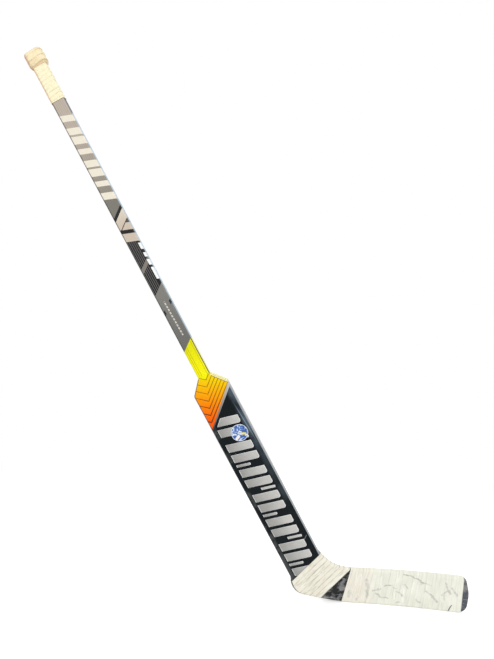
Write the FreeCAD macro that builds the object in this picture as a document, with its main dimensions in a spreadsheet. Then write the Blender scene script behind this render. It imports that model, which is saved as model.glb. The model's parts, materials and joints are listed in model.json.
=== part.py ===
import FreeCAD, Part
import math
import os

import Sketcher

# Goalkeeper's ice hockey stick: a hollow shaft glued into a foam-cored paddle, a curved blade keyed to
# the paddle's foot at a slanted joint, and cloth tape wound round the knob, the grip, the heel and the blade.
#
# Drawing frame: the shaft's centre line meets the bare sole line at (0, 0, 0), +X runs along the blade to
# the toe, +Z is up and the striking side faces -Y. Every body carries the same placement, which puts the
# part's origin at the middle of the taped sole, on the ice.
# Shaft frame: the drawing frame leant back, so that Z runs up the shaft and X across it towards the toe.

SIZES = {
    # lie of the stick and the shaft
    "lie_angle": 119.0,
    "butt_height": 1432.0,
    "shaft_width": 31.0,
    "shaft_depth": 20.0,
    "shaft_wall": 2.2,
    "shaft_corner": 5.0,
    "socket_depth": 180.0,
    # paddle
    "shoulder_height": 607.0,
    "shoulder_drop": 33.0,
    "shoulder_round": 8.0,
    "paddle_width": 87.5,
    "taper_foot": 115.0,
    "taper_ease": 0.2,
    "skin_thickness": 1.2,
    "edge_width": 6.0,
    "edge_round": 4.0,
    # blade
    "heel_thickness": 14.0,
    "toe_thickness": 9.5,
    "blade_heel_height": 79.5,
    "blade_toe_height": 85.5,
    "toe_reach": 328.0,
    "toe_belly_height": 48.0,
    "toe_top_set": 9.0,
    "toe_foot_set": 5.0,
    "toe_top_round": 12.0,
    "toe_belly_round": 80.0,
    "toe_foot_round": 22.0,
    "curve_start": 20.0,
    "curve_depth": 31.0,
    "sole_start": 30.0,
    "sole_rise_round": 500.0,
    "heel_height": 88.0,
    "heel_set": 6.0,
    "heel_drop": 36.2,
    "heel_round": 38.0,
    "heel_hollow_round": 12.0,
    "throat_round": 95.0,
    # joint of paddle and blade, and what is inside the blade
    "joint_height": 59.0,
    "joint_offset": 19.0,
    "wrap_angle": 47.0,
    "tenon_width": 30.0,
    "tenon_length": 76.0,
    "heel_rib_reach": 112.0,
    "toe_rib_set": 106.0,
    "rib_thickness": 3.0,
    "glue_line": 0.3,
    # butt end
    "plug_length": 60.0,
    "plug_cap": 4.0,
    "plug_clearance": 0.1,
    "plug_relief": 1.2,
    "plug_rib": 4.0,
    "plug_rib_count": 4,
    "knob_height": 34.0,
    "knob_girth": 4.8,
    "knob_bevel": 4.0,
    # cloth tape
    "tape_thickness": 0.9,
    "tape_clearance": 0.1,
    "tape_gap": 0.6,
    "tape_flat": 0.5,
    "grip_length": 88.5,
    "grip_turns": 10,
    "knob_turns": 4,
    "heel_tape_width": 76.0,
    "heel_tape_turns": 7,
    "tape_meet": 2.3,
    "toe_bare": 17.2,
    "blade_tape_lean": 13.8,
    "blade_tape_end_lean": 2.6,
    "blade_tape_turns": 19,
    "sole_middle": 190.0,
    # sticker on the paddle
    "sticker_drop": 155.0,
    "sticker_offset": 11.5,
    "sticker_diameter": 40.0,
    "sticker_thickness": 0.3,
}

# Reach of the cutting blocks past the stick, and how far the rounding of the edges runs past the joint.
CUT_REACH = 2400.0
ROUNDING_RUN = 30.0

# An octagon that touches a rounded corner from outside cuts this share of its radius off each side.
CORNER_CUT = 2.0 - math.sqrt(2.0)

# The most that an eased edge takes of the thickness, and that the knob's bevel takes of its girth.
EDGE_SHARE = 0.42
BEVEL_SHARE = 0.8

# A face counts as broad when its normal leans this far to the front or back, two walls count as one
# direction when their normals agree this well, and an edge counts as level within this height.
BROAD_LEAN = 0.7
SAME_WALL = 0.9999
LEVEL_HEIGHT = 1e-6

Vector = FreeCAD.Vector
doc = FreeCAD.newDocument("GoalieStick")
sheet = doc.addObject("Spreadsheet::Sheet", "Sizes")
for row, (alias, amount) in enumerate(SIZES.items(), start=1):
    sheet.set(f"A{row}", alias)
    sheet.set(f"B{row}", str(amount))
    sheet.setAlias(f"B{row}", alias)
doc.recompute()


def size(alias):
    """A driving dimension, read from the sheet."""
    return float(sheet.get(alias))


def number(formula):
    """What a formula of the sheet's cells comes to."""
    return float(sheet.evalExpression(formula))


# Formulas that several pieces share
LEAN = "(Sizes.lie_angle - 90)"
SIN = f"sin({LEAN} * 1 deg)"
COS = f"cos({LEAN} * 1 deg)"
HALF_PADDLE = "(Sizes.paddle_width / 2)"
HALF_SHAFT = "(Sizes.shaft_width / 2)"
TOP_HALF = "(Sizes.shaft_depth / 2 + Sizes.skin_thickness)"
HEEL_HALF = "(Sizes.heel_thickness / 2)"
CURVE_LENGTH = "(Sizes.toe_reach - Sizes.curve_start)"
FRONT_FALL = "(Sizes.curve_depth - (Sizes.heel_thickness - Sizes.toe_thickness) / 2)"
BACK_FALL = "(Sizes.curve_depth + (Sizes.heel_thickness - Sizes.toe_thickness) / 2)"
SOLE_LIFT = "(Sizes.tape_clearance + Sizes.tape_thickness - Sizes.tape_flat)"
TUBE_FOOT = "(Sizes.shoulder_height - Sizes.socket_depth)"
TUBE_TOP = "(Sizes.butt_height - Sizes.plug_cap)"
TAPER_RUN = f"(({TUBE_FOOT} - Sizes.taper_foot) / (1 + 2 * Sizes.taper_ease))"
TAPER_TOP = f"({TUBE_FOOT} - Sizes.taper_ease * {TAPER_RUN})"
TAPER_FOOT = f"(Sizes.taper_foot + Sizes.taper_ease * {TAPER_RUN})"
TAPER_ROUND = f"(2 * Sizes.taper_ease * {TAPER_RUN}^2 / ({TOP_HALF} - {HEEL_HALF}))"
ROUNDING = f"min(Sizes.edge_round; {EDGE_SHARE} * Sizes.toe_thickness; {EDGE_SHARE} * Sizes.heel_thickness)"


def arc_radius(fall):
    """Radius of the blade's plan curve that falls this far over the curve's length."""
    return f"(({CURVE_LENGTH}^2 + {fall}^2) / (2 * {fall}))"


FRONT_RADIUS = arc_radius(FRONT_FALL)
BACK_RADIUS = arc_radius(BACK_FALL)
MIDDLE_RADIUS = arc_radius("Sizes.curve_depth")
SOLE_RUN = "(Sizes.sole_middle - Sizes.curve_start)"
SOLE_FALL = f"({MIDDLE_RADIUS} - sqrt({MIDDLE_RADIUS}^2 - {SOLE_RUN}^2))"


def on_shaft(along, across):
    """Drawing-frame formulas of a point given along and across the shaft."""
    x = f"(({across}) * {COS} - ({along}) * {SIN})"
    z = f"(({along}) * {COS} + ({across}) * {SIN})"
    return x, z


JOINT_X, JOINT_Z = on_shaft("Sizes.joint_height", "Sizes.joint_offset")
WRAP_COS = "cos(Sizes.wrap_angle * 1 deg)"
WRAP_SIN = "sin(Sizes.wrap_angle * 1 deg)"


def off_joint(past, along):
    """Drawing-frame formulas of a point past the joint's plane and along it."""
    x = f"({JOINT_X} + ({past}) * {WRAP_SIN} + ({along}) * {WRAP_COS})"
    z = f"({JOINT_Z} - ({past}) * {WRAP_COS} + ({along}) * {WRAP_SIN})"
    return x, z


def place(item, lean=False):
    """Stands a body or a sketch in the part's frame, leant with the shaft where asked."""
    turn = FreeCAD.Rotation(Vector(0, -1, 0), 1.0 if lean else 0.0)
    item.Placement = FreeCAD.Placement(Vector(0, 0, 0), turn)
    item.setExpression("Placement.Base.x", "-Sizes.sole_middle")
    item.setExpression("Placement.Base.y", SOLE_FALL)
    item.setExpression("Placement.Base.z", SOLE_LIFT)
    if lean:
        item.setExpression("Placement.Rotation.Angle", LEAN)


def draw_loop(sketch, corners):
    """Draws a closed outline of straight sides and tangent arcs, bound to the sheet.

    A corner is two formulas and, where the corner is rounded, a formula of its radius.
    """
    points = [Vector(number(corner[0]), number(corner[1]), 0) for corner in corners]
    radii = [number(corner[2]) if len(corner) > 2 else 0.0 for corner in corners]
    count = len(points)
    arrive = []
    leave = []
    arcs = []
    for index, point in enumerate(points):
        back = (points[index - 1] - point).normalize()
        ahead = (points[(index + 1) % count] - point).normalize()
        half = back.getAngle(ahead) / 2
        run = radii[index] / math.tan(half)
        arrive.append(point + back * run)
        leave.append(point + ahead * run)
        if radii[index] > 0:
            inward = (back + ahead).normalize()
            middle = point + inward * (radii[index] / math.sin(half) - radii[index])
            arcs.append(sketch.addGeometry(Part.Arc(arrive[index], middle, leave[index])))
        else:
            arcs.append(None)
    lines = []
    for index in range(count):
        side = Part.LineSegment(leave[index], arrive[(index + 1) % count])
        lines.append(sketch.addGeometry(side))
    for index, corner in enumerate(corners):
        mark = sketch.addGeometry(Part.Point(points[index]), True)
        for axis, formula, start in (("X", corner[0], points[index].x), ("Y", corner[1], points[index].y)):
            bound = sketch.addConstraint(Sketcher.Constraint("Distance" + axis, -1, 1, mark, 1, start))
            sketch.setExpression(f"Constraints[{bound}]", formula)
        before = lines[index - 1]
        after = lines[index]
        arc = arcs[index]
        if arc is None:
            sketch.addConstraint(Sketcher.Constraint("Coincident", before, 2, mark, 1))
            sketch.addConstraint(Sketcher.Constraint("Coincident", after, 1, mark, 1))
        else:
            swapped = (sketch.getPoint(arc, 1) - arrive[index]).Length > (
                sketch.getPoint(arc, 2) - arrive[index]).Length
            first, last = (2, 1) if swapped else (1, 2)
            sketch.addConstraint(Sketcher.Constraint("PointOnObject", mark, 1, before))
            sketch.addConstraint(Sketcher.Constraint("PointOnObject", mark, 1, after))
            sketch.addConstraint(Sketcher.Constraint("Tangent", before, 2, arc, first))
            sketch.addConstraint(Sketcher.Constraint("Tangent", arc, last, after, 1))
            bound = sketch.addConstraint(Sketcher.Constraint("Radius", arc, radii[index]))
            sketch.setExpression(f"Constraints[{bound}]", corner[2])


def new_sketch(body, name, plane, height=None):
    """A sketch on one of a body's own origin planes, lifted off it where a height is given."""
    sketch = body.newObject("Sketcher::SketchObject", name)
    support = [item for item in body.Origin.OriginFeatures if item.Role == plane]
    sketch.AttachmentSupport = [(support[0], "")]
    sketch.MapMode = "FlatFace"
    if height is not None:
        sketch.setExpression("AttachmentOffset.Base.z", height)
    return sketch


def new_pad(body, name, sketch, length, symmetric=False):
    """A pad of a body's sketch, as long as the formula says."""
    pad = body.newObject("PartDesign::Pad", name)
    pad.Profile = sketch
    if symmetric:
        pad.SideType = "Symmetric"
    pad.setExpression("Length", length)
    body.Tip = pad
    return pad


def block(name, plane, corners, lean=False, shift=None):
    """A cutting block: an outline padded both ways far past the stick, moved in Y where asked."""
    body = doc.addObject("PartDesign::Body", name)
    place(body, lean)
    if shift is not None:
        body.setExpression("Placement.Base.y", f"{SOLE_FALL} + ({shift})")
    sketch = new_sketch(body, name + "_sketch", plane)
    draw_loop(sketch, corners)
    new_pad(body, name + "_pad", sketch, str(CUT_REACH), symmetric=True)
    return body


def common(name, *items):
    """What all the given solids share."""
    result = doc.addObject("Part::MultiCommon", name)
    result.Shapes = list(items)
    return result


def cut(name, base, tool):
    """One solid less another."""
    result = doc.addObject("Part::Cut", name)
    result.Base = base
    result.Tool = tool
    return result


def fuse(name, *items):
    """Several solids joined to one tool."""
    result = doc.addObject("Part::MultiFuse", name)
    result.Shapes = list(items)
    return result


def rectangle(half_width, half_depth, radius=None):
    """Corners of a rectangle about the middle of its plane."""
    signs = ((-1, -1), (1, -1), (1, 1), (-1, 1))
    corners = [(f"{x} * {half_width}", f"{y} * {half_depth}") for x, y in signs]
    if radius is not None:
        corners = [corner + (radius,) for corner in corners]
    return corners


def slanted(low, high, left, right):
    """Corners of a field between two heights and two offsets of the shaft."""
    return [on_shaft(low, left), on_shaft(low, right), on_shaft(high, right), on_shaft(high, left)]


def past_joint(start, end, half):
    """Corners of a field between two distances past the joint."""
    bounds = ((start, f"-{half}"), (end, f"-{half}"), (end, half), (start, half))
    return [off_joint(away, along) for away, along in bounds]


def upright(left, right):
    """Corners of a field between two distances along the blade."""
    reach = str(CUT_REACH)
    return [(left, f"-{reach}"), (right, f"-{reach}"), (right, reach), (left, reach)]


# Front outline of paddle and blade together
throat_height = f"((Sizes.blade_heel_height - {HALF_PADDLE} * {SIN}) / {COS})"
heel_x, heel_z = on_shaft("Sizes.heel_height", f"-{HALF_PADDLE}")
corner_height = "(Sizes.shoulder_height - Sizes.shoulder_drop)"
STICK_OUTLINE = [
    on_shaft("Sizes.shoulder_height", f"-{HALF_SHAFT}"),
    on_shaft("Sizes.shoulder_height", HALF_SHAFT),
    on_shaft(corner_height, HALF_PADDLE) + ("Sizes.shoulder_round",),
    on_shaft(throat_height, HALF_PADDLE) + ("Sizes.throat_round",),
    ("(Sizes.toe_reach - Sizes.toe_top_set)", "Sizes.blade_toe_height", "Sizes.toe_top_round"),
    ("Sizes.toe_reach", "Sizes.toe_belly_height", "Sizes.toe_belly_round"),
    ("(Sizes.toe_reach - Sizes.toe_foot_set)", "0", "Sizes.toe_foot_round"),
    ("Sizes.sole_start", "0", "Sizes.sole_rise_round"),
    (f"({heel_x} + Sizes.heel_set)", f"({heel_z} - Sizes.heel_drop)", "Sizes.heel_round"),
    (heel_x, heel_z, "Sizes.heel_hollow_round"),
    on_shaft(corner_height, f"-{HALF_PADDLE}") + ("Sizes.shoulder_round",),
]
outline = doc.addObject("Sketcher::SketchObject", "stick_outline")
outline.Placement = FreeCAD.Placement(Vector(0, 0, 0), FreeCAD.Rotation(Vector(1, 0, 0), 90))
outline.setExpression("Placement.Base.x", "-Sizes.sole_middle")
outline.setExpression("Placement.Base.y", SOLE_FALL)
outline.setExpression("Placement.Base.z", SOLE_LIFT)
draw_loop(outline, STICK_OUTLINE)
inner_outline = doc.addObject("Part::Offset2D", "inner_outline")
inner_outline.Source = outline
inner_outline.Join = "Intersection"
inner_outline.setExpression("Value", "-Sizes.edge_width")


def outline_block(name, source):
    """The outline carried through the stick's whole thickness."""
    solid = doc.addObject("Part::Extrusion", name)
    solid.Base = source
    solid.DirMode = "Custom"
    solid.Dir = Vector(0, 1, 0)
    solid.LengthFwd = CUT_REACH
    solid.Symmetric = True
    solid.Solid = True
    return solid


outer_block = outline_block("outer_block", outline)
inner_block = outline_block("inner_block", inner_outline)

# Thickness of the paddle: full over the shaft's tail, drawn in towards the heel
PADDLE_SECTION = [
    (f"-{HEEL_HALF}", f"-{CUT_REACH}"),
    (HEEL_HALF, f"-{CUT_REACH}"),
    (HEEL_HALF, TAPER_FOOT, TAPER_ROUND),
    (TOP_HALF, TAPER_TOP, TAPER_ROUND),
    (TOP_HALF, str(CUT_REACH)),
    (f"-{TOP_HALF}", str(CUT_REACH)),
    (f"-{TOP_HALF}", TAPER_TOP, TAPER_ROUND),
    (f"-{HEEL_HALF}", TAPER_FOOT, TAPER_ROUND),
]


def bend(half, fall, radius):
    """Corner and end of one face of the blade in plan: straight at the heel, then an arc to the toe."""
    run = f"(({CURVE_LENGTH}^2 + {fall}^2) / (2 * {CURVE_LENGTH}))"
    slope = f"({fall} / ({CURVE_LENGTH} - {run}))"
    corner = (f"(Sizes.curve_start + {run})", half, radius)
    past_toe = "(2 * Sizes.toe_reach)"
    end = (past_toe, f"({half} - {slope} * ({past_toe} - Sizes.curve_start - {run}))")
    return corner, end


# Plan of the blade: its toe curves towards the striking side and thins
front_corner, front_end = bend(f"-{HEEL_HALF}", FRONT_FALL, FRONT_RADIUS)
back_corner, back_end = bend(HEEL_HALF, BACK_FALL, BACK_RADIUS)
BLADE_PLAN = [
    (f"-{CUT_REACH}", f"-{HEEL_HALF}"),
    front_corner,
    front_end,
    back_end,
    back_corner,
    (f"-{CUT_REACH}", HEEL_HALF),
]

paddle_slab = block("paddle_slab", "YZ_Plane", PADDLE_SECTION, lean=True)
paddle_under_front = block("paddle_under_front", "YZ_Plane", PADDLE_SECTION, True, "Sizes.skin_thickness")
paddle_under_back = block("paddle_under_back", "YZ_Plane", PADDLE_SECTION, True, "-Sizes.skin_thickness")
blade_slab = block("blade_slab", "XY_Plane", BLADE_PLAN)
blade_under_front = block("blade_under_front", "XY_Plane", BLADE_PLAN, False, "Sizes.skin_thickness")
blade_under_back = block("blade_under_back", "XY_Plane", BLADE_PLAN, False, "-Sizes.skin_thickness")
GLUED = "(Sizes.skin_thickness + Sizes.glue_line)"
rib_under_front = block("rib_under_front", "XY_Plane", BLADE_PLAN, False, GLUED)
rib_under_back = block("rib_under_back", "XY_Plane", BLADE_PLAN, False, f"-{GLUED}")

# Fields of the front view on either side of the joint
far = str(CUT_REACH)
paddle_side = block("paddle_side", "XZ_Plane", past_joint(f"-{far}", "0", far))
blade_side = block("blade_side", "XZ_Plane", past_joint("0", far, far))
paddle_run = block("paddle_run", "XZ_Plane", past_joint(f"-{far}", str(ROUNDING_RUN), far))
blade_run = block("blade_run", "XZ_Plane", past_joint(f"-{ROUNDING_RUN}", far, far))
paddle_blank = common("paddle_blank", outer_block, paddle_slab, paddle_run)
blade_blank = common("blade_blank", outer_block, blade_slab, blade_run)
doc.recompute()


def face_normal(face, point):
    """Outward direction of a face at a point on it."""
    across, along = face.Surface.parameter(point)
    return face.normalAt(across, along)


def eased(name, kind, base, amount, flat_walls):
    """Eases the edges between the broad faces and the outline, but not along the flat walls named."""
    chosen = []
    for index, edge in enumerate(base.Shape.Edges, start=1):
        point = edge.valueAt((edge.FirstParameter + edge.LastParameter) / 2)
        normals = [face_normal(face, point) for face in base.Shape.ancestorsOfType(edge, Part.Face)]
        broad = [normal for normal in normals if abs(normal.y) > BROAD_LEAN]
        walls = [normal for normal in normals if abs(normal.y) <= BROAD_LEAN]
        if len(broad) != 1 or len(walls) != 1:
            continue
        if all(walls[0].dot(flat) < SAME_WALL for flat in flat_walls):
            chosen.append((index, amount, amount))
    result = doc.addObject(kind, name)
    result.Base = base
    result.Edges = chosen
    return result


rounding = number(ROUNDING)
lean = math.radians(size("lie_angle") - 90)
up_shaft = Vector(-math.sin(lean), 0, math.cos(lean))
wrap = math.radians(size("wrap_angle"))
past = Vector(math.sin(wrap), 0, -math.cos(wrap))
paddle_eased = eased("paddle_eased", "Part::Fillet", paddle_blank, rounding, (up_shaft, past))
blade_eased = eased("blade_eased", "Part::Chamfer", blade_blank, rounding * CORNER_CUT, (past * -1,))
paddle_form = common("paddle_form", paddle_eased, paddle_side)
blade_form = common("blade_form", blade_eased, blade_side)

# Fields of the paddle: the shaft's strip up the middle and a field on either side of it
half_shaft = HALF_SHAFT
shaft_strip = block("shaft_strip", "XZ_Plane", slanted(f"-{far}", far, f"-{half_shaft}", half_shaft))
heel_field = block("heel_field", "XZ_Plane", slanted(f"-{far}", far, f"-{far}", f"-{half_shaft}"))
toe_field = block("toe_field", "XZ_Plane", slanted(f"-{far}", far, half_shaft, far))
below_tube = block("below_tube", "XZ_Plane", slanted(f"-{far}", TUBE_FOOT, f"-{half_shaft}", half_shaft))
lip_low = "(Sizes.shoulder_height - 2 * Sizes.edge_width)"
shaft_lip = block("shaft_lip", "XZ_Plane", slanted(lip_low, far, f"-{half_shaft}", half_shaft))
half_tenon = "(Sizes.tenon_width / 2)"
tenon_field = block(
    "tenon_field", "XZ_Plane", past_joint("-Sizes.tenon_length / 2", "Sizes.tenon_length / 2", half_tenon))

# Paddle: rails round the edge, skins front and back, and the room between them
paddle_panel_field = fuse("paddle_panel_field", inner_block, shaft_lip)
paddle_panel = common("paddle_panel", paddle_form, paddle_panel_field)
paddle_rim = cut("paddle_rim", paddle_form, paddle_panel_field)
paddle_heel_rail = common("paddle_heel_rail", paddle_rim, heel_field)
paddle_toe_rail = common("paddle_toe_rail", paddle_rim, toe_field)
paddle_front_skin = cut("paddle_front_skin", paddle_panel, paddle_under_front)
paddle_back_skin = cut("paddle_back_skin", paddle_panel, paddle_under_back)
paddle_room = common("paddle_room", paddle_panel, paddle_under_front, paddle_under_back)
paddle_free_room = cut("paddle_free_room", paddle_room, tenon_field)
paddle_heel_core = common("paddle_heel_core", paddle_free_room, heel_field)
paddle_toe_core = common("paddle_toe_core", paddle_free_room, toe_field)
paddle_spar = common("paddle_spar", paddle_free_room, below_tube)

# Blade: a band round the edge, skins, and foam blocks between two ribs
blade_panel = common("blade_panel", blade_form, inner_block)
blade_edge_band = cut("blade_edge_band", blade_form, inner_block)
blade_front_skin = cut("blade_front_skin", blade_panel, blade_under_front)
blade_back_skin = cut("blade_back_skin", blade_panel, blade_under_back)
blade_room = common("blade_room", blade_panel, blade_under_front, blade_under_back)
heel_rib_end = "(Sizes.heel_rib_reach + Sizes.rib_thickness)"
toe_rib_start = "(Sizes.toe_reach - Sizes.toe_rib_set)"
toe_rib_end = f"({toe_rib_start} + Sizes.rib_thickness)"
blade_free_room = cut("blade_free_room", blade_room, tenon_field)
rib_room = common("rib_room", blade_free_room, rib_under_front, rib_under_back)
BLADE_FILLING = {
    "blade_heel_core": (blade_free_room, f"-{far}", "Sizes.heel_rib_reach"),
    "blade_heel_rib": (rib_room, "Sizes.heel_rib_reach", heel_rib_end),
    "blade_middle_core": (blade_free_room, heel_rib_end, toe_rib_start),
    "blade_toe_rib": (rib_room, toe_rib_start, toe_rib_end),
    "blade_toe_core": (blade_free_room, toe_rib_end, far),
}
blade_filling = []
for node, (room, left, right) in BLADE_FILLING.items():
    field = block(node + "_field", "XZ_Plane", upright(left, right))
    blade_filling.append(common(node, room, field))

# Tenon across the joint, filling the room between the skins on both sides
both_rooms = fuse("both_rooms", paddle_room, blade_room)
joint_tenon = common("joint_tenon", both_rooms, tenon_field)

# Shaft: a hollow tube from the socket in the paddle up to the plug's cap
shaft_tube = doc.addObject("PartDesign::Body", "shaft_tube")
place(shaft_tube, lean=True)
tube_sketch = new_sketch(shaft_tube, "tube_sketch", "XY_Plane", TUBE_FOOT)
half_depth = "(Sizes.shaft_depth / 2)"
draw_loop(tube_sketch, rectangle(half_shaft, half_depth, "Sizes.shaft_corner"))
bore_width = "(Sizes.shaft_width / 2 - Sizes.shaft_wall)"
bore_depth = "(Sizes.shaft_depth / 2 - Sizes.shaft_wall)"
bore_corner = "(Sizes.shaft_corner - Sizes.shaft_wall)"
draw_loop(tube_sketch, rectangle(bore_width, bore_depth, bore_corner))
new_pad(shaft_tube, "tube_pad", tube_sketch, f"{TUBE_TOP} - {TUBE_FOOT}")

# Butt plug: a cap over the tube's end and a stem whose ribs grip the bore
butt_plug = doc.addObject("PartDesign::Body", "butt_plug")
place(butt_plug, lean=True)
cap_sketch = new_sketch(butt_plug, "cap_sketch", "XY_Plane", TUBE_TOP)
draw_loop(cap_sketch, rectangle(half_shaft, half_depth, "Sizes.shaft_corner"))
new_pad(butt_plug, "cap_pad", cap_sketch, "Sizes.plug_cap")
stem_sketch = new_sketch(butt_plug, "stem_sketch", "XY_Plane", f"{TUBE_TOP} - Sizes.plug_length")
stem_width = f"({bore_width} - Sizes.plug_relief)"
stem_depth = f"({bore_depth} - Sizes.plug_relief)"
draw_loop(stem_sketch, rectangle(stem_width, stem_depth))
new_pad(butt_plug, "stem_pad", stem_sketch, "Sizes.plug_length")
rib_sketch = new_sketch(butt_plug, "rib_sketch", "XY_Plane", f"{TUBE_TOP} - Sizes.plug_length")
rib_width = f"({bore_width} - Sizes.plug_clearance)"
rib_depth = f"({bore_depth} - Sizes.plug_clearance)"
draw_loop(rib_sketch, rectangle(rib_width, rib_depth, f"({bore_corner} - Sizes.plug_clearance)"))
rib_pad = new_pad(butt_plug, "rib_pad", rib_sketch, "Sizes.plug_rib")
doc.recompute()
rib_row = butt_plug.newObject("PartDesign::LinearPattern", "rib_row")
rib_row.Originals = [rib_pad]
rib_row.Direction = (rib_sketch, ["N_Axis"])
rib_row.setExpression("Length", "Sizes.plug_length - 2 * Sizes.plug_rib")
rib_row.setExpression("Occurrences", "Sizes.plug_rib_count")
butt_plug.Tip = rib_row

# Knob: the roll that the knob's tape is wound on
knob_core = doc.addObject("PartDesign::Body", "knob_core")
place(knob_core, lean=True)
knob_sketch = new_sketch(knob_core, "knob_sketch", "XY_Plane", "Sizes.butt_height - Sizes.knob_height")
knob_width = f"({half_shaft} + Sizes.knob_girth)"
knob_depth = f"({half_depth} + Sizes.knob_girth)"
knob_corner = "(Sizes.shaft_corner + Sizes.knob_girth)"
draw_loop(knob_sketch, rectangle(knob_width, knob_depth, knob_corner))
draw_loop(knob_sketch, rectangle(half_shaft, half_depth, "Sizes.shaft_corner"))
knob_pad = new_pad(knob_core, "knob_pad", knob_sketch, "Sizes.knob_height")
doc.recompute()
knob_rims = []
for index, edge in enumerate(knob_pad.Shape.Edges, start=1):
    bounds = edge.BoundBox
    level = bounds.ZLength < LEVEL_HEIGHT
    past_width = max(abs(bounds.XMax), abs(bounds.XMin)) > (size("shaft_width") + size("knob_girth")) / 2
    past_depth = max(abs(bounds.YMax), abs(bounds.YMin)) > (size("shaft_depth") + size("knob_girth")) / 2
    if level and (past_width or past_depth):
        knob_rims.append(f"Edge{index}")
knob_rim = knob_core.newObject("PartDesign::Chamfer", "knob_rim")
knob_rim.Base = (knob_pad, knob_rims)
knob_rim.setExpression("Size", f"min(Sizes.knob_bevel; Sizes.knob_girth * {BEVEL_SHARE})")
knob_core.Tip = knob_rim

# Round sticker on the full-thickness part of the paddle's face
round_sticker = doc.addObject("PartDesign::Body", "round_sticker")
place(round_sticker, lean=True)
sticker_sketch = new_sketch(round_sticker, "sticker_sketch", "XZ_Plane", TOP_HALF)
ring = sticker_sketch.addGeometry(Part.Circle(Vector(0, 0, 0), Vector(0, 0, 1), size("sticker_diameter") / 2))
for kind, formula in (("DistanceX", "Sizes.sticker_offset"), ("DistanceY", "Sizes.shoulder_height - Sizes.sticker_drop")):
    bound = sticker_sketch.addConstraint(Sketcher.Constraint(kind, -1, 1, ring, 3, number(formula)))
    sticker_sketch.setExpression(f"Constraints[{bound}]", formula)
bound = sticker_sketch.addConstraint(Sketcher.Constraint("Diameter", ring, size("sticker_diameter")))
sticker_sketch.setExpression(f"Constraints[{bound}]", "Sizes.sticker_diameter")
new_pad(round_sticker, "sticker_pad", sticker_sketch, "Sizes.sticker_thickness")
doc.recompute()


# Cloth tape. A strip is an unbroken ruled loft through the places where it turns a corner: each place
# gives the strip's inner and outer side along one or more threads, from its trailing to its leading edge.
def strip_solid(places):
    """A solid strip through a list of sections, each a list of inner and a list of outer points."""
    wires = []
    for inner, outer in places:
        loop = inner + outer[::-1]
        wires.append(Part.makePolygon(loop + loop[:1]))
    return Part.makeLoft(wires, True, True)


def least_gap(places, turn):
    """Least distance between the leading edge of each turn and the trailing edge of the next."""
    lead = [place[0][-1] for place in places]
    trail = [place[0][0] for place in places]
    gaps = []
    for index, point in enumerate(lead):
        for other in range(max(0, index + turn - 2), min(len(trail) - 1, index + turn + 2)):
            edge = Part.LineSegment(trail[other], trail[other + 1]).toShape()
            gaps.append(edge.distToShape(Part.Vertex(point))[0])
    return min(gaps)


def tape_node(name, shape, base_placement):
    """A wound strip as a sub-part of its own."""
    node = doc.addObject("Part::Feature", name)
    node.Shape = shape
    node.Placement = base_placement
    return node


def octagon(half_width, half_depth, radius, out):
    """Corners of the octagon round a rounded rectangle, a distance out from it, from the back face on."""
    wide = half_width + out
    deep = half_depth + out
    clip = CORNER_CUT * (radius + out)
    return [(wide - clip, deep), (clip - wide, deep), (-wide, deep - clip), (-wide, clip - deep),
            (clip - wide, -deep), (wide - clip, -deep), (wide, clip - deep), (wide, deep - clip)]


def shaft_winding(low, high, turns, half_width, half_depth, radius):
    """Sections of a strip wound up the shaft between two heights."""
    clearance = size("tape_clearance")
    inner = octagon(half_width, half_depth, radius, clearance)
    outer = octagon(half_width, half_depth, radius, clearance + size("tape_thickness"))
    sides = [math.dist(inner[index - 1], inner[index]) for index in range(len(inner))]
    girth = sum(sides)
    pitch = (high - low) / (turns + 1)
    width = pitch - size("tape_gap")
    places = []
    travelled = 0.0
    for step in range(turns * len(inner) + 1):
        corner = step % len(inner)
        if step:
            travelled += sides[corner]
        rise = low + pitch * travelled / girth
        levels = (rise, rise + width)
        places.append(([Vector(*inner[corner], level) for level in levels],
                       [Vector(*outer[corner], level) for level in levels]))
    return places, len(inner)


def face_y(across, half, fall_radius):
    """How far back a broad face of the blade lies, at a distance along the blade."""
    run = max(across - size("curve_start"), 0.0)
    return half - (fall_radius - math.sqrt(fall_radius**2 - run**2))


flat_outline = outline.Shape.copy()
flat_outline.Placement = FreeCAD.Placement(Vector(0, 0, 0), FreeCAD.Rotation(Vector(1, 0, 0), 90))
outline_face = Part.Face(flat_outline.Wires[0])
front_radius = number(FRONT_RADIUS)
back_radius = number(BACK_RADIUS)
heel_half = size("heel_thickness") / 2


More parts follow.
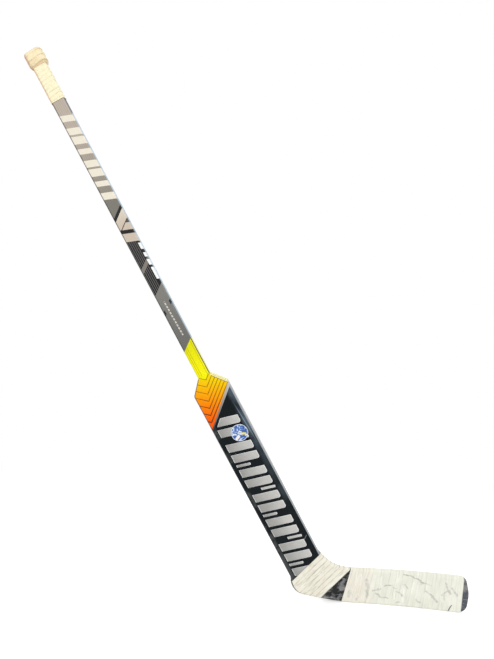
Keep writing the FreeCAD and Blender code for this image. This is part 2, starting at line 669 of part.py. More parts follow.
def blade_winding(thread_at, pitch, turns, threads):
    """Sections of a strip wound round the blade.

    thread_at gives, for a distance along the winding, a point and the direction of the thread there in the
    front view. The strip starts and ends on the middle of the back, and on the front it follows the threads,
    of which there are enough across its width for it to bend round the outline's arcs.
    """
    width = pitch - size("tape_gap")
    shares = [width * index / (threads - 1) for index in range(threads)]
    levels = []
    for out in (size("tape_clearance"), size("tape_clearance") + size("tape_thickness")):
        clip = CORNER_CUT * (rounding + out)
        on_face = outline_face.makeOffset2D(out - clip, join=2)
        on_edge = outline_face.makeOffset2D(out, join=2)
        levels.append((out, clip, on_face, on_edge))

    def crossing(wire, distance, upper):
        """Where a thread meets a wire, at its upper or lower end."""
        point, along = thread_at(distance)
        ends = (point - along * size("paddle_width") * 2, point + along * size("paddle_width") * 2)
        hits = Part.LineSegment(*ends).toShape().section(wire).Vertexes
        return sorted((hit.Point for hit in hits), key=lambda hit: hit.dot(along))[-1 if upper else 0]

    def middle(distance):
        """The middle of a thread's chord."""
        return (crossing(levels[0][2], distance, False) + crossing(levels[0][2], distance, True)) / 2

    def raised(point, depth, front):
        """A place of the front view, lifted off the blade's front or back."""
        if front:
            return Vector(point.x, face_y(point.x, -heel_half, front_radius) - depth, point.z)
        return Vector(point.x, face_y(point.x, heel_half, back_radius) + depth, point.z)

    def spot(level, distance, end, front):
        """A corner of the strip's inner or outer side."""
        out, clip, on_face, on_edge = level
        if end == "middle":
            return raised(middle(distance), out, front)
        where, fold = end.split()
        if fold == "edge":
            return raised(crossing(on_edge, distance, where == "upper"), out - clip, front)
        return raised(crossing(on_face, distance, where == "upper"), out, front)

    def ending(start):
        """The strip's end: one straight line across it on the middle of the back."""
        borders = [middle(start), middle(start + width)]
        spots = [borders[0] + (borders[1] - borders[0]) * (share / width) for share in shares]
        return tuple([raised(point, level[0], False) for point in spots] for level in levels)

    # where the strip folds in each turn: share of the turn, end of the thread, and whether in front
    folds = [(0.46, "lower face", False), (0.47, "lower edge", False), (0.49, "lower edge", True),
             (0.50, "lower face", True), (0.50, "middle", True), (0.50, "upper face", True),
             (0.51, "upper edge", True), (0.53, "upper edge", False), (0.54, "upper face", False),
             (1.00, "middle", False)]
    places = [ending(0.0)]
    for turn in range(turns):
        for share_of_turn, end, front in folds:
            start = pitch * (turn + share_of_turn)
            places.append(tuple(
                [spot(level, start + share, end, front) for share in shares] for level in levels))
    places[-1] = ending(pitch * turns)
    return places, len(folds)


def shaft_tape(name, low, high, turns, half_width, half_depth, radius):
    """Winds a strip up the shaft and prints its least gap to itself."""
    places, turn = shaft_winding(low, high, turns, half_width, half_depth, radius)
    print(f"{name}: least gap {least_gap(places, turn):.2f} mm")
    return tape_node(name, strip_solid(places), shaft_tube.Placement)


knob_foot = size("butt_height") - size("knob_height")
grip_tape = shaft_tape(
    "grip_tape", knob_foot - size("grip_length"), knob_foot - size("tape_gap"), int(size("grip_turns")),
    size("shaft_width") / 2, size("shaft_depth") / 2, size("shaft_corner"))
knob_tape = shaft_tape(
    "knob_tape", knob_foot + size("knob_bevel"), size("butt_height") - size("knob_bevel"),
    int(size("knob_turns")), number(knob_width), number(knob_depth), number(knob_corner))

joint_point = Vector(number(JOINT_X), 0, number(JOINT_Z))
thread = Vector(math.cos(wrap), 0, math.sin(wrap))
heel_turns = int(size("heel_tape_turns"))
heel_pitch = size("heel_tape_width") / heel_turns


def heel_thread(distance):
    """Where the heel's slanted turns lie: parallel threads on either side of the joint."""
    return joint_point + past * (distance - heel_pitch / 2 - size("heel_tape_width") / 2), thread


# The blade's tape starts where its leaning edge clears the heel's tape at the top of the blade
meet_height = size("blade_heel_height")
heel_edge = heel_thread(heel_pitch / 2 + size("heel_tape_width"))[0]
meet_reach = heel_edge.x + (meet_height - heel_edge.z) / math.tan(wrap) + size("tape_meet")
blade_start = meet_reach - meet_height * math.tan(math.radians(size("blade_tape_lean")))
blade_length = size("toe_reach") - size("toe_bare") - blade_start
blade_turns = int(size("blade_tape_turns"))
blade_pitch = blade_length / blade_turns


def blade_thread(distance):
    """Where the blade's turns lie: they lean at the heel end and stand nearly upright at the toe."""
    reach = distance - blade_pitch / 2
    turn_in = size("blade_tape_end_lean") - size("blade_tape_lean")
    tilt = math.radians(size("blade_tape_lean") + turn_in * reach / blade_length)
    along = Vector(math.sin(tilt), 0, math.cos(tilt))
    return Vector(blade_start + reach, 0, 0) + along * (meet_height / 2), along


home_base = Vector(-size("sole_middle"), number(SOLE_FALL), number(SOLE_LIFT))
home = FreeCAD.Placement(home_base, FreeCAD.Rotation())
heel_places, heel_turn = blade_winding(heel_thread, heel_pitch, heel_turns, 3)
print(f"heel_tape: least gap {least_gap(heel_places, heel_turn):.2f} mm")
heel_tape = tape_node("heel_tape", strip_solid(heel_places), home)
blade_places, blade_turn = blade_winding(blade_thread, blade_pitch, blade_turns, 5)
print(f"blade_tape: least gap {least_gap(blade_places, blade_turn):.2f} mm")
wear = Part.makeBox(CUT_REACH, CUT_REACH, size("tape_flat") * 4)
wear.translate(Vector(-CUT_REACH / 2, -CUT_REACH / 2, -number(SOLE_LIFT) - size("tape_flat") * 4))
blade_tape = tape_node("blade_tape", strip_solid(blade_places).cut(wear), home)
doc.recompute()

NODES = [
    shaft_tube, butt_plug, knob_core, knob_tape, grip_tape, paddle_front_skin, paddle_back_skin,
    paddle_heel_rail, paddle_toe_rail, paddle_heel_core, paddle_toe_core, paddle_spar, joint_tenon,
    blade_front_skin, blade_back_skin, blade_edge_band, heel_tape, blade_tape, round_sticker,
] + blade_filling

failed = [item.Name for item in doc.Objects if {"Invalid", "Error"} & set(item.State)]
if failed:
    raise RuntimeError("not built: " + ", ".join(failed))
for node in NODES:
    if node.Shape.isNull() or not node.Shape.isValid() or len(node.Shape.Solids) != 1:
        raise RuntimeError(f"{node.Label} is not one sound solid")
os.makedirs("parts", exist_ok=True)
for node in NODES:
    node.Shape.exportStep(f"parts/{node.Label}.step")
    print(f"{node.Label}: {node.Shape.Volume / 1000:.1f} cm3")
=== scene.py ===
"""Looks of a goalkeeper's ice hockey stick: printed laminate, foil bars, cloth tape and a white studio."""

import json
import logging
import math
from dataclasses import dataclass
from enum import Enum
from functools import reduce
from typing import Callable, Iterable, Mapping, Union

import bpy
from mathutils import Matrix, Vector, noise
from mathutils.bvhtree import BVHTree


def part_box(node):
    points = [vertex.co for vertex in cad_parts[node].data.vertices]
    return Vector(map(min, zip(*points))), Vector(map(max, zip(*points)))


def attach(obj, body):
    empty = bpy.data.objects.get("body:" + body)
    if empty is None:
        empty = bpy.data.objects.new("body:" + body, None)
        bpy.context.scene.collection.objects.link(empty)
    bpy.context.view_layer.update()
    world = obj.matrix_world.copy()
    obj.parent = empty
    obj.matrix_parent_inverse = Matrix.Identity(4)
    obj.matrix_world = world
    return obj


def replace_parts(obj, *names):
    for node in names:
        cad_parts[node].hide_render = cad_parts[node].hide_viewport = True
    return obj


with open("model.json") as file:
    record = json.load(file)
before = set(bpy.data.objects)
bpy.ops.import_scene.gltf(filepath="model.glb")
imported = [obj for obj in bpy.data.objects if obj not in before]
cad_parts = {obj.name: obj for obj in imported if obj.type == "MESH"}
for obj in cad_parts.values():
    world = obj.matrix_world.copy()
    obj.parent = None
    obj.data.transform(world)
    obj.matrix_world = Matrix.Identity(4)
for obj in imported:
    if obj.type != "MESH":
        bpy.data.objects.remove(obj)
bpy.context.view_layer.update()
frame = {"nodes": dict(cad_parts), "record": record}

MM = 0.001
FULL_TURN = 2 * math.pi
SOLE_LIFT = 0.5 * MM
FRONT = Vector((0.0, -1.0, 0.0))
TOEWARD = Vector((1.0, 0.0, 0.0))
NO_DEPTH = (1.0, 0.0, 1.0)
NOISE_MEAN = 0.5
WHITE = (1.0, 1.0, 1.0)
SRGB_LEVELS = 255
SRGB_KNEE, SRGB_SLOPE, SRGB_LIFT, SRGB_POWER = 0.04045, 12.92, 0.055, 2.4
MIX_SHARE, MIX_FIRST, MIX_SECOND, MIX_RESULT = 0, 6, 7, 2
ROOT = "root"
STRIP = "Strip"
PADDLE_OUTSIDE = ("paddle_front_skin", "paddle_back_skin", "paddle_heel_rail", "paddle_toe_rail")
BLADE_OUTSIDE = ("blade_front_skin", "blade_back_skin", "blade_edge_band")
LOG = logging.getLogger("stick")

Color = tuple[float, float, float]
Ramp = tuple[tuple[float, Color], ...]
Pair = tuple[float, float]
Profile = tuple[Pair, ...]
Key = Union[int, str]
Number = Union[float, "Signal"]
Tint = Union[Color, "Signal"]
Inputs = Mapping[Key, Union[Number, Tint]]
Gauges = Mapping["Axis", "Signal"]
Limit = Callable[[Gauges], "Signal"]


def linear(share: float) -> float:
    """The scene-linear light of a display level from 0 to 1."""
    curved = ((share + SRGB_LIFT) / (1.0 + SRGB_LIFT)) ** SRGB_POWER
    return share / SRGB_SLOPE if share <= SRGB_KNEE else curved


def rgb(*levels: int) -> Color:
    """A display colour of three levels from 0 to 255 as scene-linear light."""
    return tuple(linear(level / SRGB_LEVELS) for level in levels)


def length_of(profile: Profile) -> float:
    """Length of a line of points."""
    return sum(math.dist(near, far) for near, far in zip(profile, profile[1:]))


@dataclass(frozen=True)
class ShaftFrame:
    """The shaft's own axes: up the shaft, across it towards the toe, from where its line meets the sole."""

    foot: Vector
    up: Vector
    across: Vector

    @classmethod
    def from_record(cls, record: dict) -> "ShaftFrame":
        """Reads the shaft's line off the mount on it.

        Args:
            record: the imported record.

        Returns:
            The shaft's frame.
        """
        mount = next(item for item in record["mounts"] if item["name"] == "blocker_grip")
        up = Vector(mount["axis"]).normalized()
        point = Vector(mount["pos_m"])
        foot = point - up * ((point.z - SOLE_LIFT) / up.z)
        return cls(foot, up, Vector((up.z, 0.0, -up.x)))

    def at(self, along: float, across: float, front: float = 0.0) -> Vector:
        """The point, in metres, at some millimetres along, across and in front of the shaft's line."""
        return self.foot + (self.up * along + self.across * across + FRONT * front) * MM


@dataclass(frozen=True)
class Stroke:
    """A stroke of the front view between two points, with half its width in metres and its strength."""

    start: Vector
    end: Vector
    half: float
    strength: float = 1.0


class Signal:
    """A number, vector or colour that varies over a surface: one output of a graph's node."""

    def __init__(self, graph: "Graph", socket: bpy.types.NodeSocket) -> None:
        """Keeps the graph and the output socket."""
        self.graph, self.socket = graph, socket

    def __add__(self, other: Number) -> "Signal":
        """Sum."""
        return self.graph.math("ADD", self, other)

    def __sub__(self, other: Number) -> "Signal":
        """Difference."""
        return self.graph.math("SUBTRACT", self, other)

    def __rsub__(self, other: float) -> "Signal":
        """Difference from a number."""
        return self.graph.math("SUBTRACT", other, self)

    def __mul__(self, other: Number) -> "Signal":
        """Product."""
        return self.graph.math("MULTIPLY", self, other)

    def __abs__(self) -> "Signal":
        """Absolute value."""
        return self.graph.math("ABSOLUTE", self)

    def __gt__(self, limit: Number) -> "Signal":
        """1 above a limit, else 0."""
        return self.graph.math("GREATER_THAN", self, limit)

    def most(self, other: Number) -> "Signal":
        """The greater of two."""
        return self.graph.math("MAXIMUM", self, other)

    def scaled(self, gain: float, base: float) -> "Signal":
        """This times a gain, plus a base."""
        return self.graph.math("MULTIPLY_ADD", self, gain, base)

    def tilted(self, other: "Signal", slope: float) -> "Signal":
        """This with a multiple of another added."""
        return self.graph.math("MULTIPLY_ADD", other, slope, self)

    def wave(self, rate: float) -> "Signal":
        """Sine of so many radians for each unit."""
        return self.graph.math("SINE", self * rate)

    def within(self, centre: float, half: float) -> "Signal":
        """1 within half of a centre, else 0."""
        return self.graph.math("COMPARE", self, centre, half)

    def past(self, limit: float, soft: float = 0.2) -> "Signal":
        """Rises from 0 to 1 over a soft step about a limit."""
        ends = {"Value": self, "From Min": limit - soft, "From Max": limit + soft}
        return self.graph.signal("MapRange", ends, interpolation_type="SMOOTHSTEP")

    def short(self, limit: float, soft: float = 0.2) -> "Signal":
        """Falls from 1 to 0 over a soft step about a limit."""
        return 1.0 - self.past(limit, soft)

    def eased(self, strength: float) -> "Signal":
        """This mask at a strength."""
        return self if strength == 1.0 else self * strength

    def painted(self, mask: "Signal", tint: Tint, strength: float = 1.0) -> "Signal":
        """This colour with a tint over it where a mask says."""
        return self.graph.mix(mask.eased(strength), self, tint)


def joined(masks: Iterable[Signal]) -> Signal:
    """The greatest of some masks."""
    return reduce(Signal.most, masks)


class Axis(Enum):
    """What the limits of a print are measured on: millimetres, or a share from 0 to 1."""

    ALONG = "up the shaft"
    ACROSS = "across the shaft, towards the toe"
    FALLING = "up the shaft, on lines that fall towards the toe"
    RISING = "up the shaft, on lines that rise towards the toe"
    REACH = "out from a circle"
    SLOTS = "share in the slanted slots"
    PINS = "wave of the pinstripes"
    HATCH = "wave of the hatching"
    TICKS = "up from the last tick"
    ROW = "across the row of ticks"
    STEP = "down from the first chevron"
    LINES = "strength of the chevrons"
    EDGE = "share on the shoulder's edge lines"
    SLOPE = "out from the shoulder's slope"
    GLOW = "noise of the glow"
    SHEEN = "noise of the sheen"
    GLINT = "across the glint"
    WEAR = "noise of the wear"
    SCRAPE = "nearness to the scrape"
    TOE = "share of the toe"
    FLECKS = "share in the flecks"
    SPREAD = "noise that spreads the flecks"
    SCRATCH = "noise of the scratches"

    def past(self, limit: float, soft: float = 0.2) -> Limit:
        """What lies past a limit."""
        return lambda gauges: gauges[self].past(limit, soft)

    def short(self, limit: float, soft: float = 0.2) -> Limit:
        """What lies short of a limit."""
        return lambda gauges: gauges[self].short(limit, soft)

    def within(self, centre: float, half: float) -> Limit:
        """What lies within half of a centre."""
        return lambda gauges: gauges[self].within(centre, half)

    def share(self) -> Limit:
        """The share that is measured."""
        return lambda gauges: gauges[self]


@dataclass(frozen=True)
class Layer:
    """A named tint of a print, with finer layers over it, that shows where all its limits hold."""

    name: str
    tint: Color
    limits: tuple[Limit, ...]
    strength: float = 1.0
    over: tuple["Layer", ...] = ()


@dataclass(frozen=True)
class Grain:
    """A pattern of soft noise: features for each metre, detail, stretch of its axes and distortion."""

    scale: float
    detail: float = 3.0
    stretch: Color = WHITE
    warp: float = 0.0


class Graph:
    """Adds nodes to a node tree with short calls."""

    def __init__(self, tree: bpy.types.NodeTree) -> None:
        """Keeps the tree."""
        self.tree = tree

    def plug(self, socket: bpy.types.NodeSocket, value: Union[Number, Tint]) -> None:
        """Links an input to a signal, or sets its constant.

        Args:
            socket: the input socket.
            value: a signal, a number, a vector or a colour.
        """
        if isinstance(value, Signal):
            self.tree.links.new(value.socket, socket)
        else:
            socket.default_value = (*value, 1.0) if socket.type == "RGBA" else value

    def node(self, kind: str, inputs: Inputs, **settings: str) -> bpy.types.Node:
        """Adds a node.

        Args:
            kind: its type, without the leading ShaderNode.
            inputs: values of its inputs, by name or number.
            settings: its properties.

        Returns:
            The node.
        """
        node = self.tree.nodes.new("ShaderNode" + kind)
        for name, value in settings.items():
            setattr(node, name, value)
        for key, value in inputs.items():
            self.plug(node.inputs[key], value)
        return node

    def signal(self, kind: str, inputs: Inputs, output: Key = 0, **settings: str) -> Signal:
        """One output, by name or number, of a new node."""
        return Signal(self, self.node(kind, inputs, **settings).outputs[output])

    def math(self, operation: str, *values: Number) -> Signal:
        """The result of a math node."""
        return self.signal("Math", dict(enumerate(values)), operation=operation)

    def vector(self, operation: str, *values: Tint, output: str = "Vector") -> Signal:
        """The result of a vector math node."""
        return self.signal("VectorMath", dict(enumerate(values)), output, operation=operation)

    def mix(self, share: Number, first: Tint, second: Tint) -> Signal:
        """A blend of two colours by the share of the second."""
        inputs = {MIX_SHARE: share, MIX_FIRST: first, MIX_SECOND: second}
        return self.signal("Mix", inputs, MIX_RESULT, data_type="RGBA")


class Paint(Graph):
    """The graph of one material, with a principled shader."""

    def __init__(self, name: str) -> None:
        """Starts the material.

        Args:
            name: its name.
        """
        self.material = bpy.data.materials.new(name)
        self.material.use_nodes = True
        super().__init__(self.material.node_tree)
        self.tree.nodes.clear()
        self.shader = self.node("BsdfPrincipled", {})
        self.surface = Signal(self, self.shader.outputs["BSDF"])
        self.output = self.node("OutputMaterial", {"Surface": self.surface})
        self.position = self.signal("TexCoord", {}, "Object")

    def set(self, **values: Union[Number, Tint]) -> None:
        """Sets inputs of the shader, named with underscores for spaces."""
        for name, value in values.items():
            self.plug(self.shader.inputs[name.replace("_", " ")], value)

    def bump(self, height: Signal, depth: float, strength: float) -> None:
        """Raises the shader's normal by a height, of which 1 stands for a depth in metres."""
        self.set(Normal=self.signal("Bump", {"Height": height, "Distance": depth, "Strength": strength}))

    def distance(self, point: Vector, direction: Vector) -> Signal:
        """Distance of the shaded spot from a point along a unit direction, in millimetres."""
        away = self.vector("SUBTRACT", self.position, tuple(point))
        return self.vector("DOT_PRODUCT", away, tuple(direction / MM), output="Value")

    def facing(self, direction: Color) -> Signal:
        """How far the surface faces a direction."""
        normal = self.signal("NewGeometry", {}, "Normal")
        return self.vector("DOT_PRODUCT", normal, direction, output="Value")

    def noise(self, grain: Grain, place: Union[Signal, None] = None, output: Key = 0) -> Signal:
        """Soft noise about its mean, read at the position or at another place.

        Args:
            grain: its pattern.
            place: the place to read it at.
            output: the node's output, a number or its colour.

        Returns:
            The noise.
        """
        spread = self.vector("MULTIPLY", place or self.position, grain.stretch)
        inputs = {"Vector": spread, "Scale": grain.scale, "Detail": grain.detail, "Distortion": grain.warp}
        return self.signal("TexNoise", inputs, output)

    def specks(self, scale: float, size: float) -> Signal:
        """Scattered dots, so many for each metre: 1 within a share of their spacing, else 0."""
        reach = self.signal("TexVoronoi", {"Vector": self.position, "Scale": scale}, "Distance")
        return self.math("LESS_THAN", reach, size)

    def ramp(self, share: Signal, stops: Ramp) -> Signal:
        """A colour read off a ramp.

        Args:
            share: place on the ramp.
            stops: places and their colours.

        Returns:
            The colour.
        """
        node = self.node("ValToRGB", {0: share})
        elements = node.color_ramp.elements
        while len(elements) < len(stops):
            elements.new(0.5)
        for element, (place, color) in zip(elements, stops):
            element.position = place
            element.color = (*color, 1.0)
        return Signal(self, node.outputs[0])

    def layered(self, color: Tint, layers: Iterable[Layer], gauges: Gauges) -> Tint:
        """Paints layers over a colour.

        Args:
            color: the colour below.
            layers: the layers, from below.
            gauges: what their limits are measured on.

        Returns:
            The colour.
        """
        for layer in layers:
            mask = reduce(Signal.__mul__, (limit(gauges) for limit in layer.limits))
            tint = self.layered(layer.tint, layer.over, gauges)
            color = self.mix(mask.eased(layer.strength), color, tint)
            color.socket.node.label = layer.name
        return color

    def stroke(self, stroke: Stroke, place: Signal) -> Signal:
        """Nearness to a stroke: its strength on its line, falling to 0 at half its width.

        Args:
            stroke: the stroke.
            place: position of the shaded spot, without depth.

        Returns:
            The nearness.
        """
        start, end = (Vector((point.x, 0.0, point.z)) for point in (stroke.start, stroke.end))
        run = end - start
        away = self.vector("SUBTRACT", place, tuple(start))
        share = self.vector("DOT_PRODUCT", away, tuple(run / run.length_squared), output="Value")
        ends = {0: tuple(run), "Scale": self.math("MINIMUM", share.most(0.0), 1.0)}
        nearest = self.signal("VectorMath", ends, operation="SCALE")
        reach = self.vector("DISTANCE", away, nearest, output="Value")
        return (1.0 - reach * (1.0 / stroke.half)).most(0.0) * stroke.strength


class ShaftPaint(Paint):
    """Paint with distances up the shaft and across it, in millimetres."""

    def __init__(self, name: str, shaft: ShaftFrame, origin: Vector) -> None:
        """Starts the material.

        Args:
            name: its name.
            shaft: the shaft's axes.
            origin: where the distances are counted from.
        """
        super().__init__(name)
        self.along = self.distance(origin, shaft.up)
        self.across = self.distance(origin, shaft.across)


@dataclass(frozen=True)
class ShaftPrint:
    """Print on the shaft, from the grip down: grey with pale bars, black pinstripes, grey, then yellow, with
    a painted reflection along the toe side and painted shade along the heel side.
    """

    shaft: ShaftFrame
    fall: float = 0.36
    rise: float = -0.78
    slot_top: float = 1249.05
    slot_pitch: float = 27.0
    slot_halves: tuple[float, ...] = (8.0, 2.4, 6.0, 8.0, 2.4, 6.0, 8.0)
    pin_pitch: float = 4.4
    hatch_rate: float = 3.2
    tick_pitch: float = 8.0
    tick_slope: float = 0.03
    yellow_top: float = 688.0
    toe_edge: Pair = (14.8, 0.3)
    grain: Grain = Grain(420.0, 4.0)
    relief: Pair = (0.02 * MM, 0.5)
    rough_grain: float = 0.16
    rough_toe_side: Pair = (0.4, 0.26)
    specular: float = 0.14
    coat: float = 0.08
    coat_roughness: float = 0.1
    black: Color = rgb(22, 21, 23)
    layers: tuple[Layer, ...] = (
        Layer("pins", rgb(124, 121, 119), (Axis.PINS.past(0.62, 0.3), Axis.ACROSS.short(9.0, 1.0)), 0.8),
        Layer("band", rgb(128, 122, 115), (Axis.RISING.within(893.0, 5.5),)),
        *(Layer("dash", rgb(246, 246, 244), (Axis.FALLING.within(*dash), Axis.ACROSS.past(9.5, 0.4)))
          for dash in ((942.0, 8.0), (920.0, 5.5), (901.0, 7.0), (873.0, 15.0))),
        Layer("upper", rgb(128, 124, 114), (Axis.FALLING.past(955.0),), over=(
            Layer("warm", rgb(186, 174, 160), (Axis.ALONG.past(1140.0, 150.0),)),
            Layer("lines", rgb(116, 106, 98), (Axis.PINS.past(0.7, 0.25),), 0.3),
            Layer("bars", rgb(204, 190, 172), (Axis.SLOTS.short(0.5), Axis.FALLING.short(1272.0)), over=(
                Layer("cream", rgb(235, 227, 209), (Axis.ALONG.past(1030.0, 40.0),)),)),
            Layer("wedge", rgb(121, 118, 109), (Axis.RISING.past(1025.0), Axis.FALLING.short(1062.0))),
            Layer("corner", rgb(84, 82, 80), (Axis.FALLING.within(1010.0, 8.0), Axis.RISING.short(996.0))),
            Layer("stripe", black, (Axis.RISING.within(1025.0, 4.4),)),
            Layer("thin stripe", black, (Axis.RISING.within(996.0, 1.1),)),
            Layer("cross stripe", black, (Axis.FALLING.within(980.0, 4.6),)))),
        Layer("middle", rgb(100, 99, 95), (Axis.RISING.short(831.0),), over=(
            Layer("lit", rgb(124, 123, 118), (Axis.ALONG.past(760.0, 80.0),)),
            Layer("hatch", rgb(144, 142, 136), (Axis.HATCH.past(0.3, 0.6),), 0.4),
            Layer("ticks", rgb(214, 211, 204), (Axis.TICKS.within(2.7, 2.7), Axis.ROW.within(23.2, 1.7),
                                                Axis.ALONG.within(757.0, 44.0)), 0.85),
            *(Layer("mark", rgb(34, 36, 40), (Axis.ACROSS.within(*side), Axis.RISING.within(785.0, 5.0)))
              for side in ((-19.0, 10.0), (20.0, 10.0))))),
        Layer("lower", rgb(246, 241, 0), (Axis.RISING.short(yellow_top),), over=(
            Layer("dull", rgb(227, 225, 0), (Axis.ALONG.past(654.0, 34.0),)),
            *(Layer("line", rgb(176, 158, 0), (Axis.ACROSS.within(place, 0.5),), 0.85)
              for place in (-9.0, -4.5, 9.5)),
            Layer("corner line", rgb(96, 92, 70), (Axis.ACROSS.past(13.1, 0.3),)),
            # Painted highlight: the yellow's toe-side edge drawn pale.
            Layer("corner", rgb(244, 240, 168), (Axis.ACROSS.past(15.0, 0.3),)))),
        # Painted shade: a dark strip along the heel-side edge, above the yellow.
        Layer("heel side", rgb(52, 52, 54),
              (Axis.ACROSS.short(-13.1, 0.5), Axis.RISING.past(yellow_top)), 0.85),
        # Painted reflection: the toe-side rounded edge drawn pale blue, darker above the bars.
        Layer("toe side", rgb(198, 217, 232),
              (Axis.ACROSS.past(*toe_edge), Axis.RISING.past(yellow_top)), 0.8, over=(
                  Layer("top", rgb(112, 124, 140), (Axis.ALONG.past(1272.0),)),)))

    def material(self) -> bpy.types.Material:
        """Builds the print.

        Returns:
            The material.
        """
        paint = ShaftPaint("shaft_print", self.shaft, self.shaft.foot)
        along, across = paint.along, paint.across
        falling, rising = along.tilted(across, self.fall), along.tilted(across, self.rise)
        slots = (falling.within(self.slot_top - self.slot_pitch * index, half)
                 for index, half in enumerate(self.slot_halves))
        gauges = {Axis.ALONG: along, Axis.ACROSS: across, Axis.FALLING: falling, Axis.RISING: rising,
                  Axis.SLOTS: joined(slots), Axis.PINS: across.wave(FULL_TURN / self.pin_pitch),
                  Axis.HATCH: along.tilted(across, 1.0).wave(self.hatch_rate),
                  Axis.TICKS: paint.math("MODULO", along, self.tick_pitch),
                  Axis.ROW: across.tilted(along, self.tick_slope)}
        # The toe-side edge strip that carries the painted reflection: rougher, with no specular or coat.
        toe_side = across.past(*self.toe_edge) * rising.past(self.yellow_top)
        face = 1.0 - toe_side
        grain = paint.noise(self.grain)
        paint.set(Base_Color=paint.layered(self.black, self.layers, gauges),
                  Roughness=grain * self.rough_grain + toe_side.scaled(*self.rough_toe_side),
                  Specular_IOR_Level=face * self.specular, Coat_Weight=face * self.coat,
                  Coat_Roughness=self.coat_roughness)
        paint.bump(grain, *self.relief)
        return paint.material


